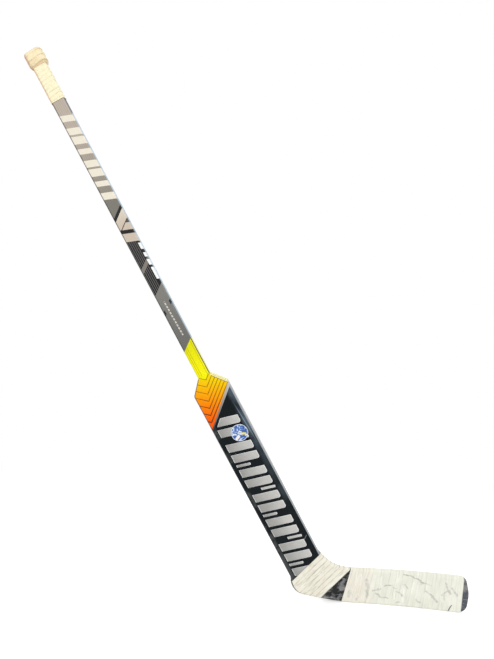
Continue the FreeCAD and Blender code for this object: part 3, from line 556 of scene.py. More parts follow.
@dataclass(frozen=True)
class PaddlePrint:
    """Print on the paddle: chevrons on yellow to orange, a grey border and a gloss blue-black field."""

    shaft: ShaftFrame
    half_width: float = 43.75
    shoulder: float = 607.0
    shoulder_half: float = 15.5
    shoulder_slope: float = 1.17
    shoulder_line: Pair = (-3.6, 0.7)
    side_line: Pair = (40.95, 0.7)
    inner_line: Pair = (-6.6, 1.1)
    sunset: Ramp = ((0.0, rgb(248, 94, 0)), (0.35, rgb(250, 134, 0)), (0.66, rgb(251, 174, 0)),
                    (1.0, rgb(246, 216, 0)))
    sunset_tilt: float = 0.55
    sunset_foot: float = 488.0
    sunset_height: float = 118.0
    chevron_top: float = 597.0
    chevron_pitch: float = 15.7
    apex_drift: float = 0.372
    left_rise: float = 0.84
    right_rise: float = 0.86
    line_half: float = 0.72
    line_swell: float = 0.55
    swell: Pair = (540.0, 36.0)
    line_soft: float = 0.45
    line_strength: Pair = (0.2, 0.74)
    border_left: float = 484.0
    border_slope: float = 0.99
    border_width: float = 2.2
    border_flare: float = 0.085
    border_soft: float = 0.4
    border: Ramp = ((0.0, rgb(72, 70, 68)), (0.55, rgb(142, 139, 134)), (1.0, rgb(196, 194, 189)))
    glow: Grain = Grain(14.0, 4.0)
    sheen: Grain = Grain(9.0)
    glint_tilt: float = 0.06
    wear: Grain = Grain(60.0, stretch=(0.5, 1.0, 0.5))
    wear_top: Pair = (190.0, 90.0)
    wear_ease: float = 0.07
    scrape: Profile = ((155.5, 27.5), (163.0, 37.5))
    scrape_half: float = 1.3 * MM
    hatch_rate: float = 2.4
    grain: Grain = Grain(300.0, 4.0)
    relief: Pair = (0.02 * MM, 0.4)
    rough: Pair = (0.14, 0.2)
    specular: float = 0.1
    warm: tuple[Layer, ...] = (
        Layer("top", rgb(246, 241, 0), (Axis.STEP.short(0.0, 0.5),)),
        Layer("chevrons", rgb(72, 44, 22), (Axis.LINES.share(), Axis.STEP.past(-3.0, 1.0))),
        Layer("edge", rgb(100, 91, 84), (Axis.EDGE.share(),), 0.85),
        Layer("rim", rgb(240, 230, 178),
              (Axis.ACROSS.past(shoulder_half, 0.01), Axis.SLOPE.past(-5.5, 0.4)), over=(
                  Layer("rim edge", rgb(222, 214, 118), (Axis.SLOPE.past(-1.8, 0.8),)),)))
    field: Color = rgb(14, 21, 25)
    dark: tuple[Layer, ...] = (
        Layer("glow", rgb(104, 120, 134),
              (Axis.ACROSS.past(31.0, 7.0), Axis.ALONG.past(400.0, 60.0), Axis.GLOW.past(0.46, 0.14)), 0.6),
        Layer("sheen", rgb(84, 96, 104),
              (Axis.ACROSS.past(30.0, 5.0), Axis.ALONG.past(210.0, 60.0), Axis.SHEEN.past(0.5, 0.12)), 0.42),
        Layer("glint", rgb(150, 166, 178),
              (Axis.GLINT.past(62.1, 0.8), Axis.GLINT.short(63.9, 0.8), Axis.ALONG.past(430.0, 25.0),
               Axis.ALONG.short(510.0, 25.0)), 0.5),
        Layer("wear", rgb(84, 87, 88), (Axis.ACROSS.short(-34.0, 4.0), Axis.WEAR.past(0.47, 0.07)), 0.6),
        Layer("scrape", rgb(150, 158, 160), (Axis.SCRAPE.past(0.4, 0.3),), 0.5),
        Layer("toe side", rgb(164, 169, 172), (Axis.ACROSS.past(41.25, 0.3),), over=(
            Layer("hatch", rgb(138, 141, 144), (Axis.HATCH.past(0.2, 0.5),), 0.4),)),
        Layer("heel line", rgb(120, 122, 122), (Axis.ACROSS.within(-42.45, 0.6),), 0.6))

    def chevrons(self, paint: ShaftPaint) -> tuple[Signal, Signal]:
        """Nested chevrons, whose points drift to the heel side on the way up, wider on the toe side by 1 mm.

        Args:
            paint: the paint.

        Returns:
            Distance below the first chevron, measured at the points, and strength of the lines.
        """
        shift = paint.across + self.apex_drift * self.chevron_top
        left, right = (paint.along.tilted(shift, rise) * (1.0 / (1.0 + self.apex_drift * rise))
                       for rise in (self.left_rise, -self.right_rise))
        step = self.chevron_top - paint.math("MINIMUM", left, right)
        low = paint.along.short(*self.swell)
        half = low * self.line_swell + (left > right) + self.line_half
        away = paint.math("DIVIDE", paint.math("PINGPONG", step, self.chevron_pitch / 2), half)
        return step, away.short(1.0, self.line_soft) * low.scaled(*self.line_strength)

    def gauges(self, paint: ShaftPaint) -> Gauges:
        """What the layers are measured on.

        Args:
            paint: the paint.

        Returns:
            The gauges.
        """
        along, across = paint.along, paint.across
        step, lines = self.chevrons(paint)
        beyond = abs(across) - self.shoulder_half
        slope = along.tilted(beyond, self.shoulder_slope) - self.shoulder
        edges = (slope.past(*self.shoulder_line), abs(across).past(*self.side_line),
                 slope.within(*self.inner_line) * (across > 0.0))
        scrape = Stroke(*(self.shaft.at(*end) for end in self.scrape), self.scrape_half)
        return {Axis.ALONG: along, Axis.ACROSS: across, Axis.STEP: step, Axis.LINES: lines, Axis.SLOPE: slope,
                Axis.EDGE: joined(edges) * (beyond > 0.0), Axis.GLOW: paint.noise(self.glow),
                Axis.SHEEN: paint.noise(self.sheen), Axis.GLINT: across.tilted(along, self.glint_tilt),
                Axis.WEAR: paint.noise(self.wear) - along.past(*self.wear_top) * self.wear_ease,
                Axis.SCRAPE: paint.stroke(scrape, paint.vector("MULTIPLY", paint.position, NO_DEPTH)),
                Axis.HATCH: along.tilted(across, 1.0).wave(self.hatch_rate)}

    def material(self) -> bpy.types.Material:
        """Builds the print.

        Returns:
            The material.
        """
        paint = ShaftPaint("paddle_print", self.shaft, self.shaft.foot)
        gauges = self.gauges(paint)
        inset = paint.across + self.half_width
        drop = paint.along.tilted(inset, -self.border_slope) - self.border_left
        edge = drop + inset.scaled(self.border_flare, self.border_width)
        color = paint.mix(edge.past(0.0, self.border_soft), paint.layered(self.field, self.dark, gauges),
                          paint.ramp(inset * (0.5 / self.half_width), self.border))
        tilted = paint.along.tilted(paint.across, self.sunset_tilt)
        sunset = paint.ramp((tilted - self.sunset_foot) * (1.0 / self.sunset_height), self.sunset)
        color = color.painted(drop.past(0.0, self.border_soft), paint.layered(sunset, self.warm, gauges))
        grain = paint.noise(self.grain)
        paint.set(Base_Color=color, Specular_IOR_Level=self.specular, Roughness=grain.scaled(*self.rough))
        paint.bump(grain, *self.relief)
        return paint.material


@dataclass(frozen=True)
class ScuffedLaminate:
    """Bare dark laminate, mottled and flecked by wear, paler at the toe."""

    name: str
    dark: Color = rgb(8, 11, 13)
    toe_start: Pair = (90.0, 5.0)
    toe_wear: float = 0.05
    toe_flecks: float = 0.14
    mottle: Grain = Grain(58.0, 7.0, warp=0.6)
    scratches: Grain = Grain(260.0, 2.0, (0.08, 1.0, 1.0))
    spread: Grain = Grain(70.0)
    fleck_count: float = 520.0
    fleck_size: float = 0.18
    relief: Pair = (0.05 * MM, 0.5)
    rough: Pair = (0.35, 0.3)
    specular: float = 0.3
    fleck: Color = rgb(196, 196, 197)
    layers: tuple[Layer, ...] = (
        Layer("toe", rgb(73, 78, 86), (Axis.TOE.share(),)),
        Layer("wear", rgb(132, 132, 131), (Axis.WEAR.past(0.575, 0.09),), 0.85),
        Layer("flecks", fleck, (Axis.FLECKS.share(), Axis.SPREAD.past(0.5, 0.1)), 0.7),
        Layer("scratches", fleck, (Axis.SCRATCH.past(0.66, 0.05),), 0.35))

    def material(self) -> bpy.types.Material:
        """Builds the finish.

        Returns:
            The material.
        """
        paint = Paint(self.name)
        mottle, scratch, spread = (paint.noise(grain) for grain in (self.mottle, self.scratches, self.spread))
        toe = paint.distance(Vector(), TOEWARD).past(*self.toe_start)
        gauges = {Axis.TOE: toe, Axis.WEAR: toe * self.toe_wear + mottle, Axis.SCRATCH: scratch,
                  Axis.SPREAD: toe * self.toe_flecks + spread,
                  Axis.FLECKS: paint.specks(self.fleck_count, self.fleck_size)}
        paint.set(Base_Color=paint.layered(self.dark, self.layers, gauges), Specular_IOR_Level=self.specular,
                  Roughness=mottle.scaled(*self.rough))
        paint.bump(scratch, *self.relief)
        return paint.material


@dataclass(frozen=True)
class PlainSolid:
    """Foam, moulded filler or rubber that the skins hide: a grained colour."""

    name: str
    color: Color
    shade: Color
    cells: float
    roughness: float = 0.6
    rough_grain: float = 0.2
    detail: float = 5.0
    relief: Pair = (0.1 * MM, 0.6)

    def material(self) -> bpy.types.Material:
        """Builds the finish.

        Returns:
            The material.
        """
        paint = Paint(self.name)
        grain = paint.noise(Grain(self.cells, self.detail))
        paint.set(Base_Color=paint.mix(grain, self.color, self.shade),
                  Roughness=grain.scaled(self.rough_grain, self.roughness))
        paint.bump(grain, *self.relief)
        return paint.material


@dataclass(frozen=True)
class Foil:
    """Brushed silver foil of the paddle's bars, or its paler edge, a painted highlight: darker towards the
    heel side as painted shade.
    """

    name: str
    color: Color
    shade: Color
    shaft: ShaftFrame
    fade: Pair = (-4.0, 38.0)
    brushing: Grain = Grain(900.0, 2.0, (0.12, 1.0, 1.0))
    clouds: Grain = Grain(16.0, 4.0)
    clouded: Pair = (0.5, 0.4)
    brush_share: float = 0.5
    lit_share: float = 0.75
    relief: Pair = (0.02 * MM, 0.5)
    rough: Pair = (0.2, 0.38)
    metallic: float = 0.25
    specular: float = 0.4

    def material(self) -> bpy.types.Material:
        """Builds the finish.

        Returns:
            The material.
        """
        paint = Paint(self.name)
        brushed = paint.noise(self.brushing)
        # Painted shade: the foil drawn lighter towards the toe side and darker towards the heel side.
        lit = paint.distance(self.shaft.foot, self.shaft.across).past(*self.fade)
        clouds = paint.noise(self.clouds).scaled(*self.clouded)
        blend = brushed * self.brush_share + clouds - lit * self.lit_share
        paint.set(Base_Color=paint.mix(blend, self.color, self.shade), Metallic=self.metallic,
                  Specular_IOR_Level=self.specular, Roughness=brushed.scaled(*self.rough))
        paint.bump(brushed, *self.relief)
        return paint.material


@dataclass(frozen=True)
class StickerPrint:
    """Round sticker: a pale rim round a blue field with lighter drifts, a yellow patch and a pale one."""

    centre: Vector
    radius: float
    shaft: ShaftFrame
    blues: Ramp = ((0.38, rgb(44, 82, 158)), (0.52, rgb(76, 118, 188)), (0.6, rgb(176, 198, 226)),
                   (0.66, rgb(236, 240, 244)))
    drift: Grain = Grain(120.0, warp=1.2)
    fall: float = 0.5
    rise: float = -0.4
    relief: Pair = (0.01 * MM, 0.4)
    rough: Pair = (0.1, 0.25)
    specular: float = 0.3
    layers: tuple[Layer, ...] = (
        Layer("yellow patch", rgb(246, 226, 74),
              (Axis.FALLING.within(-2.0, 2.6), Axis.ACROSS.within(8.0, 5.5))),
        Layer("pale patch", rgb(240, 236, 230),
              (Axis.RISING.within(-5.0, 3.6), Axis.ACROSS.within(-9.0, 6.0))),
        Layer("rim", rgb(222, 228, 236), (Axis.REACH.past(-1.3, 0.3),)))

    def material(self) -> bpy.types.Material:
        """Builds the print.

        Returns:
            The material.
        """
        paint = ShaftPaint("sticker_print", self.shaft, self.centre)
        along, across = paint.along, paint.across
        reach = paint.math("SQRT", along * along + across * across) - self.radius
        gauges = {Axis.ACROSS: across, Axis.FALLING: along.tilted(across, self.fall),
                  Axis.RISING: along.tilted(across, self.rise), Axis.REACH: reach}
        drift = paint.noise(self.drift)
        paint.set(Base_Color=paint.layered(paint.ramp(drift, self.blues), self.layers, gauges),
                  Specular_IOR_Level=self.specular, Roughness=drift.scaled(*self.rough))
        paint.bump(drift, *self.relief)
        return paint.material


@dataclass(frozen=True)
class ClothTape:
    """Woven cloth tape, read along and across the wound strip.

    A pair whose name ends in limit holds a limit and half the soft step about it. The relief holds depth and
    strength, and other pairs hold a gain and a base. The drifts say how fast a pattern changes along and
    across the strip.
    """

    name: str
    color: Color
    shade: Color
    edge: Color
    shadow: Color
    pale: Color = rgb(252, 251, 242)
    # A warm start of the strip: a pinkish tint on the blade's tape, painted shade on the knob's lower rim.
    warm: Color = rgb(242, 235, 220)
    blush: float = 0.0
    blush_soft: float = 0.25
    blotches: Grain = Grain(38.0, 5.0)
    blotch_limit: Pair = (0.55, 0.2)
    grime: float = 0.5
    tone: float = 0.2
    tone_drift: Color = (11.0, 0.0, 0.0)
    tone_limit: Pair = (0.5, 0.1)
    streaks: float = 0.2
    drift: Color = (70.0, 650.0, 1.0)
    pale_limit: Pair = (0.4, 0.06)
    dark_limit: Pair = (0.58, 0.08)

    edge_strength: float = 0.45
    lap_breaks: Grain = Grain(40.0, 4.0)
    lap_limit: Pair = (0.53, 0.11)
    lap_broken: Pair = (0.92, 0.08)
    lap_shade: float = 0.9 * MM
    lap_sway: Grain = Grain(55.0, 2.0)
    lap_wander: float = 2.0 * MM
    edge_limit: Pair = (0.1 * MM, 0.5 * MM)

    thread: float = 0.55 * MM
    weave_shade: float = 0.12
    weave_height: float = 0.07
    fuzz: Grain = Grain(150.0, 4.0)
    fuzz_height: float = 0.18
    wrinkles: Grain = Grain(42.0, 2.0, warp=2.0)
    crumple: float = 0.4

    creases: tuple[Stroke, ...] = ()
    ridges: tuple[Stroke, ...] = ()
    swaying: Grain = Grain(75.0)
    sway: float = 12 * MM
    gaps: Grain = Grain(140.0, 2.0)
    gap_limit: Pair = (0.5, 0.2)
    gap_shown: Pair = (0.5, 0.5)
    hairs: Grain = Grain(30.0, 2.5, warp=1.6)
    hair_limit: Pair = (0.014, 0.014)
    hair_spread: Grain = Grain(21.0, 2.0)
    hair_spread_limit: Pair = (0.52, 0.08)
    hair_depth: float = 0.22
    ridge_limit: Pair = (0.35, 0.3)
    lip_limit: Pair = (0.08, 0.06)
    lip_end_limit: Pair = (0.2, 0.1)
    lip_strength: float = 0.45
    ridge_strength: float = 0.7
    ridge_height: float = 0.3
    fold_shade: Color = rgb(158, 157, 148)
    fold_limit: Pair = (0.34, 0.32)
    fold_strength: float = 0.6
    fold_depth: float = 0.5
    slit: Color = rgb(84, 86, 88)
    slit_limit: Pair = (0.85, 0.15)

    # A side that faces this way is drawn darker: painted shade on the grip's and the knob's tape, a darker
    # heel-side edge on the heel's tape.
    darkened_facing: Color = (0.0, 0.0, 0.0)
    darkened_side: Color = rgb(58, 58, 58)
    darkened_limit: Pair = (0.45, 0.2)
    darkened_strength: float = 0.85
    relief: Pair = (MM, 0.7)
    rough: Pair = (0.1, 0.8)
    specular: float = 0.15
    sheen: float = 0.1
    sheen_roughness: float = 0.5

    def folds(self, paint: Paint) -> tuple[Signal, Signal]:
        """Creases pressed into the cloth on its front, drawn darker as painted shade, and the pale ridges and
        lips beside them, painted highlight.

        Args:
            paint: the paint.

        Returns:
            Depth of the creases, above 1 in a slit, and strength of the ridges.
        """
        sway = paint.vector("SUBTRACT", paint.noise(self.swaying, output="Color"), (NOISE_MEAN,) * 3)
        swing = paint.vector("MULTIPLY", sway, (self.sway, 0.0, self.sway))
        flat = paint.vector("MULTIPLY", paint.vector("ADD", paint.position, swing), NO_DEPTH)
        shown = paint.noise(self.gaps).past(*self.gap_limit).scaled(*self.gap_shown)
        shown = shown * (paint.facing(tuple(FRONT)) > 0.0)
        hair = abs(paint.noise(self.hairs) - NOISE_MEAN).short(*self.hair_limit)
        hair = hair * paint.noise(self.hair_spread).past(*self.hair_spread_limit) * self.hair_depth
        depth = hair.most(joined(paint.stroke(crease, flat) for crease in self.creases) * shown)
        ridge = joined(paint.stroke(ridge, flat).past(*self.ridge_limit) for ridge in self.ridges) * shown
        lip = depth.past(*self.lip_limit) - depth.past(*self.lip_end_limit)
        return depth, ridge.most(lip * self.lip_strength)

    def laps(self, paint: Paint, width: Signal, pitch: float, color: Signal) -> Signal:
        """Draws the uneven edge of each turn, a painted highlight on the blade's tape and a darker line on
        the others, and painted shade of the step on the turn below.

        Args:
            paint: the paint.
            width: place across the strip.
            pitch: distance between turns.
            color: the cloth's colour.

        Returns:
            The colour with the laps.
        """
        broken = paint.noise(self.lap_breaks).past(*self.lap_limit).scaled(*self.lap_broken)
        # Painted shade of each turn's step on the turn below.
        shade = width.past(pitch - self.lap_shade, self.lap_shade) * broken
        color = color.painted(shade, self.shadow, self.edge_strength)
        edge = (width - paint.noise(self.lap_sway) * self.lap_wander).short(*self.edge_limit)
        return color.painted(edge * broken, self.edge, self.edge_strength)

    def material(self, pitch: float) -> bpy.types.Material:
        """Builds the cloth.

        Args:
            pitch: distance between the turns it is wound in.

        Returns:
            The material.
        """
        paint = Paint(self.name)
        strip = paint.signal("UVMap", {}, "UV", uv_map=STRIP)
        parts = paint.node("SeparateXYZ", {0: strip})
        length, width = (Signal(paint, parts.outputs[axis]) for axis in "XY")

        blotches = paint.noise(self.blotches).past(*self.blotch_limit)
        color = paint.mix(blotches * self.grime, self.color, self.shade)
        if self.blush:
            color = color.painted(length.short(self.blush, self.blush * self.blush_soft), self.warm)
        tone = paint.noise(Grain(1.0, stretch=self.tone_drift), strip)
        color = color.painted(tone.past(*self.tone_limit), self.shade, self.tone)
        # Streaks along the strip: pale ones are painted highlight, dark ones painted shade; the same noise
        # raises the relief below.
        drawn = paint.noise(Grain(1.0, stretch=self.drift), strip)
        color = color.painted(drawn.short(*self.pale_limit), self.pale, self.streaks)
        color = color.painted(drawn.past(*self.dark_limit), self.shadow, self.streaks)
        color = self.laps(paint, width, pitch, color)

        rate = FULL_TURN / self.thread
        weave = (length.wave(rate) * width.wave(rate)).scaled(0.5, 0.5)
        color = color.painted(weave, self.shade, self.weave_shade)
        height = paint.noise(self.fuzz) * self.fuzz_height + weave * self.weave_height
        height = height + paint.noise(self.wrinkles) * self.crumple + drawn * self.streaks
        # Creases darker as painted shade, ridges and crease lips paler as painted highlight, and the slit
        # darkest.
        if self.creases:
            depth, ridge = self.folds(paint)
            color = color.painted(ridge, self.pale, self.ridge_strength)
            color = color.painted(depth.past(*self.fold_limit), self.fold_shade, self.fold_strength)
            color = color.painted(depth.past(*self.slit_limit), self.slit)
            height = height + ridge * self.ridge_height - depth * self.fold_depth
        # Darkens the side that faces the given way.
        if any(self.darkened_facing):
            darkened_side = paint.facing(self.darkened_facing).past(*self.darkened_limit)
            color = color.painted(darkened_side, self.darkened_side, self.darkened_strength)
        paint.set(Base_Color=color, Roughness=weave.scaled(*self.rough), Specular_IOR_Level=self.specular,
                  Sheen_Weight=self.sheen, Sheen_Roughness=self.sheen_roughness)
        paint.bump(height, *self.relief)
        return paint.material


def toward(front: bool) -> Vector:
    """The direction out of the stick's front or back."""
    return FRONT if front else -FRONT


def between_rings(first: int, count: int) -> list[tuple[int, ...]]:
    """Faces from a ring of so many points, by the number of its first, to the next ring."""
    sides = [(first + corner, first + (corner + 1) % count) for corner in range(count)]
    return [(low, beside, beside + count, low + count) for low, beside in sides]


class Surface:
    """The stick's bare surface, for laying tape and foil on it."""

    def __init__(self) -> None:
        """Gathers the faces of the outside nodes."""
        points: list[Vector] = []
        faces: list[list[int]] = []
        for name in PADDLE_OUTSIDE + BLADE_OUTSIDE:
            mesh = frame["nodes"][name].data
            faces += [[len(points) + index for index in face.vertices] for face in mesh.polygons]
            points += [vertex.co.copy() for vertex in mesh.vertices]
        self.tree = BVHTree.FromPolygons(points, faces)

    def depth(self, spot: Vector, front: bool) -> Union[float, None]:
        """Where the front or back lies in Y at a place of the front view, or None off the stick."""
        hit = self.tree.ray_cast(Vector((spot.x, toward(front).y, spot.z)), -toward(front))[0]
        return None if hit is None else hit.y

    def edge(self, point: Vector, direction: Vector, reach: float = 0.16, halvings: int = 16) -> Vector:
        """Where a line in the front view leaves the stick.

        Args:
            point: a place on the stick.
            direction: the line's direction.
            reach: a distance past the edge.
            halvings: how often the distance is halved.

        Returns:
            The place, with no depth.
        """
        gone = 0.0
        for step in (reach / 2 ** halving for halving in range(1, halvings + 1)):
            if self.depth(point + direction * (gone + step), True) is not None:
                gone += step
        return point + direction * gone


def add_object(name: str, data: bpy.types.ID) -> bpy.types.Object:
    """Puts new data into the scene.

    Args:
        name: name of the object.
        data: its mesh, light or camera.

    Returns:
        The object.
    """
    added = bpy.data.objects.new(name, data)
    bpy.context.scene.collection.objects.link(added)
    return added


def add_piece(name: str, mesh: bpy.types.Mesh, slot: str, *finishes: bpy.types.Material) -> bpy.types.Object:
    """Puts a mesh into the scene as a piece of the stick.

    Args:
        name: name of the piece.
        mesh: its mesh.
        slot: the record's slot; not used.
        finishes: its materials.

    Returns:
        The object.
    """
    for finish in finishes:
        mesh.materials.append(finish)
    piece = add_object(name, mesh)
    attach(piece, ROOT)
    LOG.info("built %s: %d faces", name, len(mesh.polygons))
    return piece


def dress(finish: bpy.types.Material, *names: str) -> None:
    """Gives CAD nodes their finish.

    Args:
        finish: the material.
        names: names of the nodes.
    """
    for name in names:
        mesh = frame["nodes"][name].data
        mesh.materials.clear()
        mesh.materials.append(finish)
        LOG.info("dressed %s with %s", name, finish.name)


@dataclass(kw_only=True)
class Winding:
    """One strip of cloth tape wound in turns that overlap like shingles."""

    name: str
    slot: str
    finish: ClothTape
    pitch: float
    turns: int
    lap: float = 0.4
    thickness: float = 0.42 * MM
    clearance: float = 0.35 * MM
    ripple: float = 0.12 * MM
    ripple_rate: float = 70.0
    wander: float = 0.1
    wander_rate: float = 1.9
    wander_seed: float = 0.3
    worn: float = 0.15 * MM
    crisp: float = 38.0
    shares: tuple[float, ...] = (0.0, 0.04, 0.18, 0.36, 0.54, 0.72, 0.86, 1.0)

    def advances(self) -> list[float]:
        """Share of a turn at each station round the strip's path."""
        raise NotImplementedError

    def spot(self, station: int, distance: float) -> tuple[Vector, Vector]:
        """A place on what the strip is wound on, at a station and a distance, and the direction out of it."""
        raise NotImplementedError

    def rings(self) -> list[list[Vector]]:
        """The strip's closed section at every station: its outer points, then its inner ones back.

        Returns:
            The sections in order.
        """
        width = self.pitch * (1.0 + self.lap)
        advances = self.advances()
        rings = []
        for stop in range(self.turns * len(advances) + 1):
            turn, station = divmod(stop, len(advances))
            gone = turn + advances[station]
            seed = Vector((gone * self.wander_rate, self.wander_seed, len(self.name)))
            sway = noise.noise(seed) * self.pitch * self.wander
            outer: list[Vector] = []
            inner: list[Vector] = []
            for share in self.shares:
                place, out = self.spot(station, self.pitch * gone + share * width + sway * (1.0 - share))
                fall = self.thickness * min(share * (1.0 + self.lap), 1.0)
                height = self.clearance + 2.0 * self.thickness - fall
                height += noise.noise(place * self.ripple_rate) * self.ripple
                sides = (outer, height, 0.0), (inner, height - self.thickness, self.worn)
                for points, level, floor in sides:
                    point = place + out * level
                    point.z = max(point.z, floor)
                    points.append(point)
            rings.append(outer + inner[::-1])
        return rings

    def build(self, node: str) -> None:
        """Builds the strip as one closed mesh that stands for a CAD node.

        Args:
            node: name of the node.
        """
        rings = self.rings()
        middle, count = len(self.shares) // 2, 2 * len(self.shares)
        widths = [share * self.pitch * (1.0 + self.lap) for share in self.shares + self.shares[::-1]]
        strip: list[Pair] = []
        length = 0.0
        for before, ring in zip(rings[:1] + rings, rings):
            length += (ring[middle] - before[middle]).length
            strip += [(length, width) for width in widths]
        points = [point for ring in rings for point in ring]
        last = len(points) - count
        faces = [face for first in range(0, last, count) for face in between_rings(first, count)]
        faces += [tuple(reversed(range(count))), tuple(range(last, last + count))]
        mesh = bpy.data.meshes.new(self.name)
        mesh.from_pydata(points, [], faces)
        layer = mesh.uv_layers.new(name=STRIP)
        for loop in mesh.loops:
            layer.data[loop.index].uv = strip[loop.vertex_index]
        mesh.shade_smooth()
        mesh.set_sharp_from_angle(angle=math.radians(self.crisp))
        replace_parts(add_piece(self.name, mesh, self.slot, self.finish.material(self.pitch)), node)


@dataclass(kw_only=True)
class ShaftWinding(Winding):
    """A strip wound round the shaft, along a profile of heights and distances out from it."""

    shaft: ShaftFrame
    profile: Profile
    half_width: float = 15.5
    half_depth: float = 10.0
    corner: float = 5.0
    least_corner: float = 0.6
    corners: Profile = ((-1.0, 1.0), (-1.0, -1.0), (1.0, -1.0), (1.0, 1.0))
    steps: int = 6
    overrun: float = 0.02
    easing: float = 2.0

    def flat(self, station: int, offset: float) -> tuple[float, float, float]:
        """Place across and behind the shaft's line at a station, and the direction there.

        Args:
            station: number of the station round the rounded section.
            offset: distance out from the shaft, in millimetres.

        Returns:
            Across, back and the direction's angle.
        """
        turn, step = divmod(station, self.steps)
        across, back = self.corners[turn]
        angle = math.pi / 2 * (turn + 1 + step / (self.steps - 1))
        corner = max(self.corner + offset, self.least_corner)
        wide = across * (self.half_width + offset - corner) + corner * math.cos(angle)
        deep = back * (self.half_depth + offset - corner) + corner * math.sin(angle)
        return wide, deep, angle

    def advances(self) -> list[float]:
        """Share of a turn at each station, by the way gone round the section."""
        spots = [self.flat(station, 0.0)[:2] for station in range(self.steps * len(self.corners))]
        return [length_of(spots[:index + 1]) / length_of(spots + spots[:1]) for index in range(len(spots))]

    def on_profile(self, gone: float) -> Pair:
        """Height and offset at a distance along the profile.

        Args:
            gone: the distance in millimetres.

        Returns:
            Height and offset.
        """
        for near, far in zip(self.profile, self.profile[1:]):
            run = math.dist(near, far)
            if gone <= run or far == self.profile[-1]:
                share = gone / run
                return near[0] + (far[0] - near[0]) * share, near[1] + (far[1] - near[1]) * share
            gone -= run
        raise ValueError("the profile has no length")

    def spot(self, station: int, distance: float) -> tuple[Vector, Vector]:
        """A place on the shaft's wound profile, held near the profile's ends.

        Args:
            station: number of the station round the section.
            distance: distance along the winding.

        Returns:
            The place and the outward direction there.
        """
        gone = (distance - self.pitch) / MM
        kept = min(max(gone, 0.0), length_of(self.profile))
        gone = kept + (gone - kept) * self.overrun
        height, offset = self.on_profile(gone)
        before, after = self.on_profile(gone - self.easing), self.on_profile(gone + self.easing)
        wide, deep, angle = self.flat(station, offset)
        side = self.shaft.across * math.cos(angle) - FRONT * math.sin(angle)
        out = side * (after[0] - before[0]) + self.shaft.up * (before[1] - after[1])
        return self.shaft.at(height, wide, -deep), out.normalized()


class Zone(Enum):
    """Parts of the way round the blade."""

    BACK = "back"
    LOWER = "lower"
    FRONT = "front"
    UPPER = "upper"


@dataclass(kw_only=True)
class BladeWinding(Winding):
    """A strip wound round the blade along threads of the front view, whose lean may change on the way."""

    surface: Surface
    origin: Vector
    heading: Vector
    lean: float
    end_lean: float
    reach: float
    rise: float = 0.0
    wander: float = 0.3
    overrun: float = 0.03
    corner: float = 4.0 * MM
    edge_turn: float = 0.04
    face_places: tuple[float, ...] = (0.0, 0.12, 0.3, 0.5, 0.7, 0.88, 1.0)
    edge_places: tuple[float, ...] = (0.0, 0.125, 0.25, 0.375, 0.5, 0.5, 0.625, 0.75, 0.875, 1.0)

    def thread(self, distance: float) -> tuple[Vector, Vector]:
        """A thread of the front view.

        Args:
            distance: distance along the winding.

        Returns:
            A place on it and its direction.
        """
        gone = distance - self.pitch / 2
        held = min(max(gone, 0.0), self.reach)
        gone = held + (gone - held) * self.overrun
        tilt = math.radians(self.lean + (self.end_lean - self.lean) * gone / self.reach)
        along = Vector((math.sin(tilt), 0.0, math.cos(tilt)))
        return self.origin + self.heading * gone + along * (self.rise / along.z), along

    def stations(self) -> list[tuple[Zone, float, float]]:
        """Stations of one turn, from the middle of the back.

        Returns:
            Zone, place in it and share of the turn.
        """
        back, half = 0.5 - self.edge_turn, len(self.face_places) // 2
        last = self.face_places[:half:-1]
        stops = [(Zone.BACK, place, back * (1.0 - 2.0 * place)) for place in self.face_places[half::-1]]
        stops += [(Zone.LOWER, place, back + self.edge_turn * place) for place in self.edge_places]
        stops += [(Zone.FRONT, place, 0.5) for place in self.face_places]
        stops += [(Zone.UPPER, place, 0.5 + self.edge_turn * place) for place in self.edge_places]
        return stops + [(Zone.BACK, place, 1.0 - back * (2.0 * place - 1.0)) for place in last]

    def advances(self) -> list[float]:
        """Share of a turn at each station."""
        return [share for _, _, share in self.stations()]

    def spot(self, station: int, distance: float) -> tuple[Vector, Vector]:
        """A place on the blade.

        Args:
            station: number of the station round the blade.
            distance: distance along the winding.

        Returns:
            The place and the outward direction there.
        """
        zone, place, _ = self.stations()[station]
        point, along = self.thread(distance)
        low = self.surface.edge(point, -along) + along * self.corner
        high = self.surface.edge(point, along) - along * self.corner
        if zone in (Zone.FRONT, Zone.BACK):
            front = zone is Zone.FRONT
            spot = low.lerp(high, place)
            spot.y = self.surface.depth(spot, front)
            return spot, toward(front)
        upper = zone is Zone.UPPER
        middle, outward = (high, along) if upper else (low, -along)
        front = (place <= 0.5) == upper
        middle.y = self.surface.depth(middle, front) - toward(front).y * self.corner
        angle = math.pi * min(place, 1.0 - place)
        out = (toward(front) * math.cos(angle) + outward * math.sin(angle)).normalized()
        return middle + out * self.corner, out


@dataclass
class Shaft:
    """The hollow shaft and the plug in its end."""

    axes: ShaftFrame
    plug: PlainSolid = PlainSolid("plug_plastic", rgb(46, 46, 48), rgb(30, 30, 32), 160.0)

    def dress(self) -> None:
        """Dresses the tube and the plug."""
        dress(ShaftPrint(self.axes).material(), "shaft_tube")
        dress(self.plug.material(), "butt_plug")


